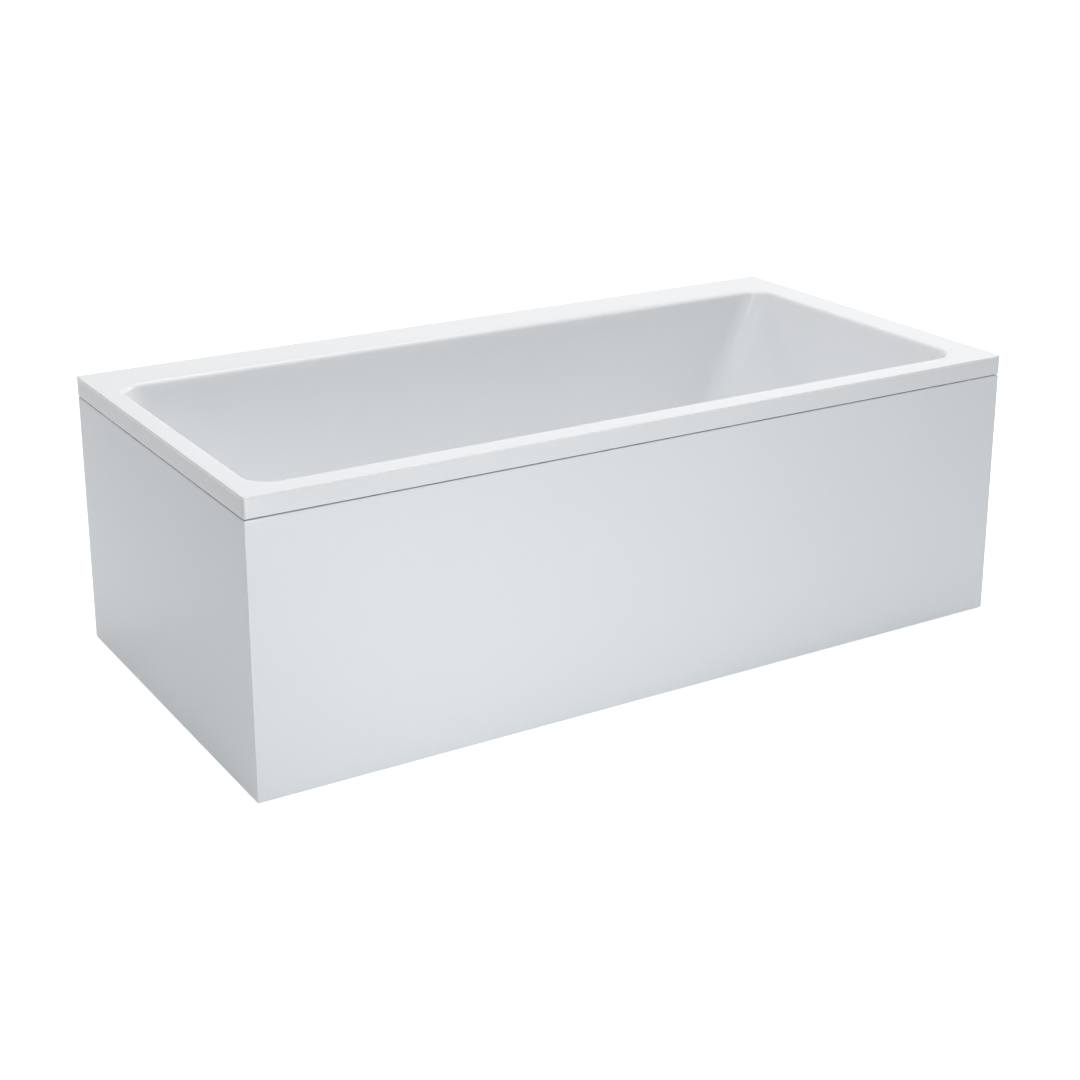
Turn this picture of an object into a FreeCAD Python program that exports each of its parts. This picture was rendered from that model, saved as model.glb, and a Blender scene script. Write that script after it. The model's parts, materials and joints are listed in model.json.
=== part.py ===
"""Rectangular bathtub with a front panel and an end panel, on a steel frame.

Sizes are in millimetres.  The origin is at the bottom centre: +X runs along
the length towards the backrest, +Y towards the back wall and +Z up.
"""
import FreeCAD, Part

import math
import os

V = FreeCAD.Vector
X_AXIS = V(1, 0, 0)
Y_AXIS = V(0, 1, 0)
Z_AXIS = V(0, 0, 1)

# ---------------------------------------------------------------- driving sizes
LENGTH = 1700.0
WIDTH = 850.0
HEIGHT = 570.0

# Formed shell: acrylic sheet with its bonded backing
SHEET = 5.0
LIP_HEIGHT = 40.0
LIP_CORNER_R = 6.0
RIM_EDGE_R = 2.0
RIM_DRAIN_END = 45.0
RIM_BACKREST_END = 74.0
RIM_FRONT = 56.0
RIM_BACK = 116.0
MOUTH_EDGE_R = 12.0
MOUTH_CORNER_R = 50.0
UNDER_FLOOR = 150.0
FLOOR_CORNER_R = 110.0
FLOOR_EDGE_R = 60.0
DRAIN_END_SLOPE = 12.0
BACKREST_SLOPE = 28.0
SIDE_SLOPE = 6.0
FLOOR_FALL = 0.009

# Drain, measured from the drain end
DRAIN_FROM_END = 250.0
DRAIN_HOLE_R = 26.0
DISH_R = 43.0
DISH_DEPTH = 4.0
DISH_FLANK = 3.0
DISH_BOSS_R = 52.0

# Overflow, measured down from the rim
OVERFLOW_DROP = 88.0
OVERFLOW_HOLE_R = 26.0

# Base board under the floor and the resin wedge that beds it
BOARD_THICKNESS = 16.0
BOARD_FROM_DRAIN = 70.0
BOARD_SIDE_MARGIN = 11.0
BOARD_END_MARGIN = 22.0
WEDGE_MIN = 3.0

# Rim battens
BATTEN_HEIGHT = 20.0
BATTEN_FRONT_WIDTH = 20.0
BATTEN_DRAIN_END_WIDTH = 18.0
BATTEN_BACK_WIDTH = 60.0
BATTEN_BACKREST_END_WIDTH = 36.0
BATTEN_LIP_GAP = 2.0
ANCHOR_LIP_GAP = 6.0

# Steel frame
TUBE = 30.0
TUBE_WALL = 2.0
TUBE_EDGE_R = 4.0
FRONT_RAIL_INSET = 65.0
BACK_RAIL_INSET = 125.0
RAIL_START = 60.0
RAIL_END = 150.0
CROSS_RAILS = 3
CROSS_RAIL_INSET = 60.0
BOARD_SCREW_R = 3.0
BOARD_SCREW_HEAD_R = 6.0
BOARD_SCREW_HEAD = 4.0
BOARD_SCREW_BITE = 12.0
BOARD_SCREW_INSET = 55.0

# Levelling feet
ROD_R = 6.0
ROD_CLEARANCE = 0.05
ROD_TOP_IN_TUBE = 17.0
FOOT_HOLE_R = 7.0
WELD_NUT_FLATS = 18.0
WELD_NUT_HEIGHT = 10.0
LOCK_NUT_HEIGHT = 6.0
PAD_R = 24.0
PAD_TOP_R = 12.0
PAD_BASE = 4.0
PAD_HEIGHT = 16.0
ROD_BITE = 11.0
FOOT_INSET = 150.0

# Panels: formed trays with returned edges
PANEL_SHEET = 4.0
PANEL_INSET = 2.0
PANEL_FLOOR_GAP = 3.0
SHADOW_GAP = 2.0
PANEL_RETURN = 18.0
PANEL_EDGE_R = 3.0
MITRE_GAP = 0.3
PANEL_BOARD = 8.0
PANEL_BOARD_MARGIN = 3.0
PANEL_BOARD_CORNER_GAP = 24.0

# Panel clips and brackets: strips folded to a fork that grips the return
FORK_CLEARANCE = 0.3
FORK_BITE = 8.0
CLIP_STRIP = 2.2
CLIP_WIDTH = 30.0
CLIP_END_INSET = 200.0
FRONT_CLIPS = 3
END_CLIPS = 2

# Wall anchors
ANCHOR_STRIP = 2.0
ANCHOR_WIDTH = 40.0
ANCHOR_DROP = 70.0
ANCHOR_HOOK = 20.0
ANCHOR_HOLE_R = 4.0
ANCHOR_HOLE_PITCH = 30.0
ANCHOR_FIRST_HOLE = 16.0
BACK_ANCHOR_INSET = 330.0

# Drain fittings
FLANGE_R = 39.0
FLANGE = 2.5
SLEEVE_R = 23.5
SLEEVE_BORE_R = 21.0
SLEEVE_DROP = 32.0
HUB_R = 7.0
HUB_LENGTH = 10.0
HUB_DROP = 14.0
SPIDER_ARM = 3.0
SPIDER_ARMS = 3
UPPER_SEAL = 1.0
LOWER_SEAL = 3.0
STEM_R = 4.0
STEM_CLEARANCE = 0.05
STEM_STOP_R = 6.5
STEM_STOP = 4.0
PLUG_LIFT = 10.0
PLUG_R = 33.0
PLUG_EDGE = 2.5
PLUG_CROWN = 5.5
PLUG_SEAL = 2.2
PLUG_SEAL_R = 30.0
PLUG_SEAL_WIDTH = 4.5
SEAT_CLEARANCE = 0.3

# Trap
TRAP_WALL = 3.0
TRAP_FLANGE_R = 38.0
TRAP_FLANGE = 4.0
INLET_R = 27.5
CUP_R = 58.0
TRAP_FLOOR_GAP = 22.0
TRAP_NECK = 42.0
CUP_EDGE_R = 8.0
DIP_DROP = 52.0
OUTLET_DROP = 28.0
OUTLET_R = 20.0
OUTLET_WALL = 2.0
OUTLET_COLLAR_R = 23.5
OUTLET_COLLAR_REACH = 26.0
OUTLET_NUT_R = 30.0
OUTLET_NUT_LENGTH = 22.0
OUTLET_RUN = 62.0
OUTLET_SPIGOT = 48.0
OUTLET_BEND_R = 30.0
OUTLET_TURN = 45.0
NUT_RIBS = 12
NUT_RIB_R = 2.0

# Overflow fittings, measured along the normal of the sloping end wall
GASKET = 2.5
GASKET_R = 31.0
BODY_R = 31.0
BODY_DEPTH = 31.0
BODY_WALL = 3.0
PLATE_R = 33.0
PLATE = 2.5
PLATE_OPENING_R = 21.0
PLATE_SLEEVE_R = 24.5
CROSSBAR = 12.0
KNOB_HUB_R = 7.0
KNOB_SHAFT_R = 4.0
KNOB_CLEARANCE = 0.05
KNOB_R = 35.0
KNOB_GAP = 6.5
KNOB_THICKNESS = 12.0
KNOB_EDGE_R = 3.0
KNOB_SCALLOPS = 6
KNOB_SCALLOP_R = 14.0
KNOB_SCALLOP_DEPTH = 1.6
DRUM_R = 9.0
DRUM = 6.0
PLATE_SCREW_R = 2.5
PLATE_SCREW_HEAD_R = 4.5
PLATE_SCREW_HEAD = 1.8
PLATE_SCREW_SPREAD = 32.0
PILLAR_R = 4.5
PIPE_R = 13.0
PIPE_WALL = 1.8
PIPE_BEND_R = 55.0
PIPE_WALL_GAP = 1.0
SOCKET_WALL = 2.2
SOCKET_REACH = 42.0
PIPE_NUT_R = 17.5
PIPE_NUT_LENGTH = 14.0
PIPE_PORT_DROP = 26.0
PORT_REACH = 52.0
CABLE_R = 2.5
CABLE_SIDE = 24.0
CABLE_BEND_R = 22.0
CABLE_BOSS_R = 6.0
CABLE_BOSS = 8.0

# ---------------------------------------------------------------- derived places
LIP_BOTTOM = HEIGHT - LIP_HEIGHT
RIM_UNDERSIDE = HEIGHT - SHEET
END_X0 = -LENGTH / 2
END_X1 = LENGTH / 2
FRONT_Y = -WIDTH / 2
BACK_Y = WIDTH / 2
MOUTH_X0 = END_X0 + RIM_DRAIN_END
MOUTH_X1 = END_X1 - RIM_BACKREST_END
MOUTH_Y0 = FRONT_Y + RIM_FRONT
MOUTH_Y1 = BACK_Y - RIM_BACK
BASIN_Y = (MOUTH_Y0 + MOUTH_Y1) / 2
DRAIN_X = END_X0 + DRAIN_FROM_END
FLOOR_AT_DRAIN = UNDER_FLOOR
BASIN_DEPTH = HEIGHT - FLOOR_AT_DRAIN


def wall_foot(slope):
    """Level run of a basin wall from the rim down to where its fillet meets the floor."""
    lean = math.radians(slope)
    return BASIN_DEPTH * math.tan(lean) + FLOOR_EDGE_R * math.tan((math.pi / 2 - lean) / 2)


BOARD_X0 = DRAIN_X + BOARD_FROM_DRAIN
BOARD_X1 = MOUTH_X1 - wall_foot(BACKREST_SLOPE) - BOARD_END_MARGIN
BOARD_Y0 = MOUTH_Y0 + wall_foot(SIDE_SLOPE) + BOARD_SIDE_MARGIN
BOARD_Y1 = MOUTH_Y1 - wall_foot(SIDE_SLOPE) - BOARD_SIDE_MARGIN
BOARD_TOP = FLOOR_AT_DRAIN + FLOOR_FALL * BOARD_FROM_DRAIN - SHEET - WEDGE_MIN
BOARD_BOTTOM = BOARD_TOP - BOARD_THICKNESS
TUBE_BOTTOM = BOARD_BOTTOM - TUBE
RAIL_X0 = END_X0 + RAIL_START
RAIL_X1 = END_X1 - RAIL_END
FRONT_RAIL_Y = FRONT_Y + FRONT_RAIL_INSET
BACK_RAIL_Y = BACK_Y - BACK_RAIL_INSET
NUT_BOTTOM = TUBE_BOTTOM - WELD_NUT_HEIGHT
LOCK_BOTTOM = NUT_BOTTOM - LOCK_NUT_HEIGHT

PANEL_X0 = END_X0 + PANEL_INSET
PANEL_X1 = END_X1 - PANEL_INSET
PANEL_Y0 = FRONT_Y + PANEL_INSET
PANEL_Y1 = BACK_Y - PANEL_INSET
PANEL_BOTTOM = PANEL_FLOOR_GAP
PANEL_TOP = LIP_BOTTOM - SHADOW_GAP

DISH_Z = FLOOR_AT_DRAIN - DISH_DEPTH
DISH_UNDERSIDE = DISH_Z - SHEET
FLANGE_BOTTOM = DISH_Z + UPPER_SEAL
FLANGE_TOP = FLANGE_BOTTOM + FLANGE
TRAP_TOP = DISH_UNDERSIDE - LOWER_SEAL
PORT_Z = DISH_UNDERSIDE - PIPE_PORT_DROP
CUP_TOP = TRAP_TOP - TRAP_NECK
CUP_BOTTOM = TRAP_FLOOR_GAP
DIP_BOTTOM = CUP_TOP - DIP_DROP
OUTLET_Z = CUP_TOP - OUTLET_DROP

OVERFLOW_Z = HEIGHT - OVERFLOW_DROP
BACK_OF_WALL = -SHEET
GASKET_BACK = BACK_OF_WALL - GASKET
BODY_BACK = GASKET_BACK - BODY_DEPTH
PIPE_OFFSET = -(SHEET + PIPE_WALL_GAP + PIPE_NUT_R)


# ---------------------------------------------------------------- basic shapes
def box(x0, x1, y0, y1, z0, z1):
    """Block between two corners."""
    return Part.makeBox(x1 - x0, y1 - y0, z1 - z0, V(x0, y0, z0))


def cylinder(radius, z0, z1, x=0.0, y=0.0):
    """Upright cylinder between two heights."""
    return Part.makeCylinder(radius, z1 - z0, V(x, y, z0))


def ring(outer, inner, z0, z1, x=0.0, y=0.0):
    """Upright tube between two heights."""
    return cylinder(outer, z0, z1, x, y).cut(cylinder(inner, z0 - 1, z1 + 1, x, y))


def prism(points, direction):
    """Solid swept from a closed outline of points along a direction."""
    outline = Part.makePolygon(points + [points[0]])
    return Part.Face(outline).extrude(direction)


def revolved(profile):
    """Solid of revolution about Z from (radius, height) points."""
    points = [V(r, 0, z) for r, z in profile]
    face = Part.Face(Part.makePolygon(points + [points[0]]))
    return face.revolve(V(0, 0, 0), Z_AXIS, 360)


def hexagon(flats, z0, z1, x=0.0, y=0.0):
    """Hexagonal bar by its width across flats."""
    reach = flats / 2 / math.cos(math.radians(30))
    points = []
    for k in range(6):
        angle = math.radians(60 * k)
        points.append(V(x + reach * math.cos(angle), y + reach * math.sin(angle), z0))
    return prism(points, V(0, 0, z1 - z0))


def moved(shape, x=0.0, y=0.0, z=0.0):
    """Copy of a shape, shifted."""
    copy = shape.copy()
    copy.translate(V(x, y, z))
    return copy


def spread(count, first, last):
    """Evenly spaced places from first to last."""
    return [first + (last - first) * k / (count - 1) for k in range(count)]


def route(points, bend_r):
    """Wire of straight runs with an arc of one radius at each inner point."""
    edges = []
    start = points[0]
    for before, corner, after in zip(points, points[1:], points[2:]):
        to_corner = (corner - before).normalize()
        from_corner = (after - corner).normalize()
        turn = to_corner.getAngle(from_corner)
        setback = bend_r * math.tan(turn / 2)
        arc_start = corner - to_corner * setback
        arc_end = corner + from_corner * setback
        inward = (from_corner - to_corner).normalize()
        arc_middle = corner + inward * (bend_r / math.cos(turn / 2) - bend_r)
        edges.append(Part.makeLine(start, arc_start))
        edges.append(Part.Arc(arc_start, arc_middle, arc_end).toShape())
        start = arc_end
    edges.append(Part.makeLine(start, points[-1]))
    return Part.Wire(edges)


def bar_along(path, radius):
    """Round bar swept along a route."""
    first = path.Edges[0]
    begin = first.valueAt(first.FirstParameter)
    heading = first.tangentAt(first.FirstParameter)
    circle = Part.Wire(Part.makeCircle(radius, begin, heading))
    return path.makePipeShell([circle], True, False)


def tube_along(points, bend_r, radius, wall):
    """Round tube swept along a route, open at both ends."""
    path = route(points, bend_r)
    return bar_along(path, radius).cut(bar_along(path, radius - wall))


# ---------------------------------------------------------------- tub shell
def floor_z(x):
    """Height of the basin floor, which falls towards the drain."""
    return FLOOR_AT_DRAIN + FLOOR_FALL * (x - DRAIN_X)


def rounded_rectangle(x0, x1, y0, y1, z, radius):
    """Level closed wire of four lines and four quarter arcs."""
    corners = (
        (x1 - radius, y0 + radius, 270),
        (x1 - radius, y1 - radius, 0),
        (x0 + radius, y1 - radius, 90),
        (x0 + radius, y0 + radius, 180),
    )
    arcs = []
    for x, y, start in corners:
        arcs.append(Part.makeCircle(radius, V(x, y, z), Z_AXIS, start, start + 90))
    edges = []
    for arc, following in zip(arcs, arcs[1:] + arcs[:1]):
        edges.append(arc)
        line_start = arc.valueAt(arc.LastParameter)
        line_end = following.valueAt(following.FirstParameter)
        edges.append(Part.makeLine(line_start, line_end))
    return Part.Wire(edges)


def basin_section(z, offset):
    """Level section of the basin, grown outwards by an offset normal to its walls."""
    depth = HEIGHT - z
    drain_end = math.radians(DRAIN_END_SLOPE)
    backrest = math.radians(BACKREST_SLOPE)
    side = math.radians(SIDE_SLOPE)
    x0 = MOUTH_X0 + depth * math.tan(drain_end) - offset / math.cos(drain_end)
    x1 = MOUTH_X1 - depth * math.tan(backrest) + offset / math.cos(backrest)
    y0 = MOUTH_Y0 + depth * math.tan(side) - offset / math.cos(side)
    y1 = MOUTH_Y1 - depth * math.tan(side) + offset / math.cos(side)
    growth = (FLOOR_CORNER_R - MOUTH_CORNER_R) * depth / BASIN_DEPTH
    return rounded_rectangle(x0, x1, y0, y1, z, MOUTH_CORNER_R + growth + offset)


def basin(offset):
    """Solid of the basin's space: a loft cut by the falling floor, its floor edge rounded."""
    top = basin_section(HEIGHT + SHEET, offset)
    low = basin_section(FLOOR_AT_DRAIN - 2 * SHEET, offset)
    loft = Part.makeLoft([low, top], True, True)
    above_floor = prism(
        [
            V(END_X0, FRONT_Y, floor_z(END_X0) - offset),
            V(END_X1, FRONT_Y, floor_z(END_X1) - offset),
            V(END_X1, FRONT_Y, HEIGHT + 2 * SHEET),
            V(END_X0, FRONT_Y, HEIGHT + 2 * SHEET),
        ],
        V(0, WIDTH, 0),
    )
    space = loft.common(above_floor)
    floor = min(space.Faces, key=lambda face: face.CenterOfMass.z)
    return space.makeFillet(FLOOR_EDGE_R + offset, floor.Edges)


def edges_at(shape, z, x0, x1, y0, y1):
    """Level edges of a shape at one height whose middles lie inside a rectangle."""
    found = []
    for edge in shape.Edges:
        bounds = edge.BoundBox
        middle = edge.CenterOfMass
        level = abs(bounds.ZMin - z) < 0.01 and abs(bounds.ZMax - z) < 0.01
        inside = x0 < middle.x < x1 and y0 < middle.y < y1
        if level and inside:
            found.append(edge)
    return found


def upright_edges(shape):
    """Edges that run along Z."""
    return [e for e in shape.Edges if e.BoundBox.XLength < 0.01 and e.BoundBox.YLength < 0.01]


def rim_block():
    """Outer form of rim and lip with its rounded corners and top edge."""
    block = box(END_X0, END_X1, FRONT_Y, BACK_Y, LIP_BOTTOM, HEIGHT)
    block = block.makeFillet(LIP_CORNER_R, upright_edges(block))
    return block.makeFillet(RIM_EDGE_R, edges_at(block, HEIGHT, END_X0 - 1, END_X1 + 1,
                                                 FRONT_Y - 1, BACK_Y + 1))


def tub_shell():
    """Formed sheet: rim and lip, basin, drain dish, drain hole and overflow hole."""
    hollow = box(END_X0 + SHEET, END_X1 - SHEET, FRONT_Y + SHEET, BACK_Y - SHEET,
                 LIP_BOTTOM - 1, RIM_UNDERSIDE)
    hollow = hollow.makeFillet(max(LIP_CORNER_R - SHEET, 1.0), upright_edges(hollow))
    shell = rim_block().cut(hollow)

    below_rim = box(END_X0, END_X1, FRONT_Y, BACK_Y, 0, RIM_UNDERSIDE + SHEET / 2)
    shell = shell.fuse(basin(SHEET).common(below_rim))
    boss = cylinder(DISH_BOSS_R, DISH_UNDERSIDE, FLOOR_AT_DRAIN, DRAIN_X, BASIN_Y)
    shell = shell.fuse(boss).cut(basin(0))

    underside = edges_at(shell, RIM_UNDERSIDE, END_X0 + 2 * SHEET, END_X1 - 2 * SHEET,
                         FRONT_Y + 2 * SHEET, BACK_Y - 2 * SHEET)
    shell = shell.makeFillet(MOUTH_EDGE_R - SHEET, underside)
    mouth = edges_at(shell, HEIGHT, END_X0 + RIM_DRAIN_END / 2, END_X1 - RIM_BACKREST_END / 2,
                     FRONT_Y + RIM_FRONT / 2, BACK_Y - RIM_BACK / 2)
    shell = shell.makeFillet(MOUTH_EDGE_R, mouth)

    dish = Part.makeCone(DISH_R - DISH_FLANK, DISH_R, DISH_DEPTH + 0.5,
                         V(DRAIN_X, BASIN_Y, DISH_Z))
    shell = shell.cut(dish)
    drain_hole = cylinder(DRAIN_HOLE_R, DISH_UNDERSIDE - 1, FLOOR_AT_DRAIN, DRAIN_X, BASIN_Y)
    overflow_hole = on_end_wall(cylinder(OVERFLOW_HOLE_R, -3 * SHEET, 3 * SHEET))
    return shell.cut(drain_hole).cut(overflow_hole).removeSplitter()


# ---------------------------------------------------------------- underside
def floor_reinforcement():
    """Resin wedge between the falling floor and the level base board."""
    outline = [
        V(BOARD_X0, BOARD_Y0, BOARD_TOP),
        V(BOARD_X1, BOARD_Y0, BOARD_TOP),
        V(BOARD_X1, BOARD_Y0, floor_z(BOARD_X1) - SHEET),
        V(BOARD_X0, BOARD_Y0, floor_z(BOARD_X0) - SHEET),
    ]
    return prism(outline, V(0, BOARD_Y1 - BOARD_Y0, 0))


def board_screw_places():
    """Two screws through each cross rail."""
    places = []
    for rail_x in cross_rail_xs():
        for y in (BOARD_Y0 + BOARD_SCREW_INSET, BOARD_Y1 - BOARD_SCREW_INSET):
            places.append((rail_x, y))
    return places


def base_board():
    """Chipboard panel with the pilot holes of its screws."""
    board = box(BOARD_X0, BOARD_X1, BOARD_Y0, BOARD_Y1, BOARD_BOTTOM, BOARD_TOP)
    for x, y in board_screw_places():
        board = board.cut(cylinder(BOARD_SCREW_R, BOARD_BOTTOM - 1,
                                   BOARD_BOTTOM + BOARD_SCREW_BITE, x, y))
    return board


def rim_battens():
    """Four timber battens bonded under the rim, clear of lip and anchors."""
    z0 = RIM_UNDERSIDE - BATTEN_HEIGHT
    z1 = RIM_UNDERSIDE
    front_y0 = FRONT_Y + SHEET + BATTEN_LIP_GAP
    front_y1 = front_y0 + BATTEN_FRONT_WIDTH
    back_y1 = BACK_Y - SHEET - ANCHOR_LIP_GAP
    back_y0 = back_y1 - BATTEN_BACK_WIDTH
    drain_x0 = END_X0 + SHEET + BATTEN_LIP_GAP
    backrest_x1 = END_X1 - SHEET - ANCHOR_LIP_GAP
    return {
        "rim_batten_front": box(drain_x0, backrest_x1, front_y0, front_y1, z0, z1),
        "rim_batten_back": box(drain_x0, backrest_x1, back_y0, back_y1, z0, z1),
        "rim_batten_drain_end": box(drain_x0, drain_x0 + BATTEN_DRAIN_END_WIDTH,
                                    front_y1, back_y0, z0, z1),
        "rim_batten_backrest_end": box(backrest_x1 - BATTEN_BACKREST_END_WIDTH, backrest_x1,
                                       front_y1, back_y0, z0, z1),
    }


# ---------------------------------------------------------------- steel frame
def cross_rail_xs():
    """Middle lines of the cross rails, spread along the base board."""
    return spread(CROSS_RAILS, BOARD_X0 + CROSS_RAIL_INSET, BOARD_X1 - CROSS_RAIL_INSET)


def foot_places():
    """Four feet under the long rails and one under the middle cross rail."""
    places = []
    for rail_y in (FRONT_RAIL_Y, BACK_RAIL_Y):
        for x in (RAIL_X0 + FOOT_INSET, RAIL_X1 - FOOT_INSET):
            places.append((x, rail_y))
    places.append((cross_rail_xs()[1], BASIN_Y))
    return places


def square_tube(x0, x1, y0, y1):
    """Rounded square tube along the longer side of its plan."""
    z0 = TUBE_BOTTOM
    z1 = TUBE_BOTTOM + TUBE
    outer = box(x0, x1, y0, y1, z0, z1)
    along_x = x1 - x0 > y1 - y0
    inner_dx = -1 if along_x else TUBE_WALL
    inner_dy = TUBE_WALL if along_x else -1
    inner = box(x0 + inner_dx, x1 - inner_dx, y0 + inner_dy, y1 - inner_dy,
                z0 + TUBE_WALL, z1 - TUBE_WALL)
    span = max(x1 - x0, y1 - y0)
    long_outer = [e for e in outer.Edges if e.Length > span - 0.01]
    outer = outer.makeFillet(TUBE_EDGE_R, long_outer)
    return outer.cut(inner)


def long_rail(rail_y):
    """Rail along the tub with a hole for each foot."""
    rail = square_tube(RAIL_X0, RAIL_X1, rail_y - TUBE / 2, rail_y + TUBE / 2)
    for x, y in foot_places():
        if y == rail_y:
            rail = rail.cut(cylinder(FOOT_HOLE_R, TUBE_BOTTOM - 1,
                                     TUBE_BOTTOM + 2 * TUBE_WALL, x, y))
    return rail


def cross_rail(rail_x):
    """Rail between the long rails with its screw holes and any foot hole."""
    rail = square_tube(rail_x - TUBE / 2, rail_x + TUBE / 2,
                       FRONT_RAIL_Y + TUBE / 2, BACK_RAIL_Y - TUBE / 2)
    for x, y in board_screw_places():
        if x == rail_x:
            rail = rail.cut(cylinder(BOARD_SCREW_R, TUBE_BOTTOM - 1, BOARD_BOTTOM + 1, x, y))
    for x, y in foot_places():
        if x == rail_x and y == BASIN_Y:
            rail = rail.cut(cylinder(FOOT_HOLE_R, TUBE_BOTTOM - 1,
                                     TUBE_BOTTOM + 2 * TUBE_WALL, x, y))
    return rail


def board_screws():
    """Screws from below through the cross rails into the base board."""
    screws = []
    for x, y in board_screw_places():
        shank = cylinder(BOARD_SCREW_R, TUBE_BOTTOM, BOARD_BOTTOM + BOARD_SCREW_BITE, x, y)
        head = cylinder(BOARD_SCREW_HEAD_R, TUBE_BOTTOM - BOARD_SCREW_HEAD, TUBE_BOTTOM, x, y)
        screws.append(shank.fuse(head).removeSplitter())
    return Part.makeCompound(screws)


def foot_nut(z0, z1, x, y):
    """Hexagonal nut with a running fit on the rod."""
    bore = cylinder(ROD_R + ROD_CLEARANCE, z0 - 1, z1 + 1, x, y)
    return hexagon(WELD_NUT_FLATS, z0, z1, x, y).cut(bore)


def foot_rod(x, y):
    """Threaded rod from inside its pad up into the rail."""
    return cylinder(ROD_R, PAD_HEIGHT - ROD_BITE, TUBE_BOTTOM + ROD_TOP_IN_TUBE, x, y)


def foot_pad(x, y):
    """Plastic pad with a socket for the rod."""
    profile = [
        (0, 0),
        (PAD_R, 0),
        (PAD_R, PAD_BASE),
        (PAD_TOP_R, PAD_HEIGHT),
        (ROD_R, PAD_HEIGHT),
        (ROD_R, PAD_HEIGHT - ROD_BITE),
        (0, PAD_HEIGHT - ROD_BITE),
    ]
    return moved(revolved(profile), x, y)


# ---------------------------------------------------------------- panels
def tray(x0, x1, y0, y1, face):
    """Panel sheet with returned edges; face names the side of the block that stays closed."""
    block = box(x0, x1, y0, y1, PANEL_BOTTOM, PANEL_TOP)
    z0 = PANEL_BOTTOM + PANEL_SHEET
    z1 = PANEL_TOP - PANEL_SHEET
    if face == "front":
        inside = box(x0 - 1, x1 - PANEL_SHEET, y0 + PANEL_SHEET, y1 + 1, z0, z1)
        free = [e for e in upright_edges(block)
                if e.CenterOfMass.x > x1 - 0.01 and e.CenterOfMass.y < y0 + 0.01]
    else:
        inside = box(x0 + PANEL_SHEET, x1 + 1, y0 - 1, y1 - PANEL_SHEET, z0, z1)
        free = [e for e in upright_edges(block)
                if e.CenterOfMass.x < x0 + 0.01 and e.CenterOfMass.y > y1 - 0.01]
    return block.makeFillet(PANEL_EDGE_R, free).cut(inside)


def mitre_half(front):
    """Wedge on one side of the mitre plane at the corner between the two panels."""
    reach = 2 * PANEL_RETURN
    corner = V(PANEL_X0, PANEL_Y0, PANEL_BOTTOM - 1)
    shift = V(MITRE_GAP, 0, 0) if front else V(0, 0, 0)
    side = V(-reach, reach, 0) if front else V(reach, -reach, 0)
    along = V(reach, reach, 0)
    before = corner - along
    after = corner + along
    outline = [before + shift, after + shift, after + side + shift, before + side + shift]
    return prism(outline, V(0, 0, PANEL_TOP - PANEL_BOTTOM + 2))


def front_panel():
    """Long tray, mitred at its left end."""
    panel = tray(PANEL_X0, PANEL_X1, PANEL_Y0, PANEL_Y0 + PANEL_RETURN + PANEL_SHEET, "front")
    return panel.cut(mitre_half(True))


def end_panel():
    """Short tray, mitred at its front end."""
    panel = tray(PANEL_X0, PANEL_X0 + PANEL_RETURN + PANEL_SHEET, PANEL_Y0, PANEL_Y1, "end")
    return panel.cut(mitre_half(False))


def panel_boards():
    """Backing boards bonded inside the two trays."""
    z0 = PANEL_BOTTOM + PANEL_SHEET + PANEL_BOARD_MARGIN
    z1 = PANEL_TOP - PANEL_SHEET - PANEL_BOARD_MARGIN
    front_y0 = PANEL_Y0 + PANEL_SHEET
    end_x0 = PANEL_X0 + PANEL_SHEET
    return {
        "front_panel_board": box(PANEL_X0 + PANEL_BOARD_CORNER_GAP,
                                 PANEL_X1 - PANEL_SHEET - PANEL_BOARD_MARGIN,
                                 front_y0, front_y0 + PANEL_BOARD, z0, z1),
        "end_panel_board": box(end_x0, end_x0 + PANEL_BOARD,
                               PANEL_Y0 + PANEL_BOARD_CORNER_GAP,
                               PANEL_Y1 - PANEL_SHEET - PANEL_BOARD_MARGIN, z0, z1),
    }


def strip_profile(points, along):
    """Folded strip: an outline of (reach, height) points, CLIP_WIDTH wide, centred.

    The reach runs out of the tub: towards -Y on the front, towards -X on the end.
    """
    if along == "front":
        outline = [V(-CLIP_WIDTH / 2, -reach, z) for reach, z in points]
        return prism(outline, V(CLIP_WIDTH, 0, 0))
    outline = [V(-reach, -CLIP_WIDTH / 2, z) for reach, z in points]
    return prism(outline, V(0, CLIP_WIDTH, 0))


def clip_points(back, tip, seat):
    """Outline of an upper clip: a plate under the batten, a web and a fork on the return."""
    upper = PANEL_TOP + FORK_CLEARANCE
    lower = PANEL_TOP - PANEL_SHEET - FORK_CLEARANCE
    web = back + CLIP_STRIP
    return [
        (back, seat),
        (tip, seat),
        (tip, seat - CLIP_STRIP),
        (web, seat - CLIP_STRIP),
        (web, upper + CLIP_STRIP),
        (tip, upper + CLIP_STRIP),
        (tip, upper),
        (web, upper),
        (web, lower),
        (tip - 1, lower),
        (tip - 1, lower - CLIP_STRIP),
        (back, lower - CLIP_STRIP),
    ]


def bracket_points(rail_face, back, tip):
    """Outline of a lower bracket: a leaf on the rail, a step, a web and a fork."""
    upper = PANEL_BOTTOM + PANEL_SHEET + FORK_CLEARANCE
    lower = PANEL_BOTTOM - FORK_CLEARANCE
    web = back + CLIP_STRIP
    leaf = rail_face + CLIP_STRIP
    step = TUBE_BOTTOM + TUBE_EDGE_R
    top = TUBE_BOTTOM + TUBE - TUBE_EDGE_R
    return [
        (rail_face, step),
        (rail_face, top),
        (leaf, top),
        (leaf, step + CLIP_STRIP),
        (web, step + CLIP_STRIP),
        (web, upper + CLIP_STRIP),
        (tip - 1, upper + CLIP_STRIP),
        (tip - 1, upper),
        (web, upper),
        (web, lower),
        (tip, lower),
        (tip, lower - CLIP_STRIP),
        (back, lower - CLIP_STRIP),
        (back, step),
    ]


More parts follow.
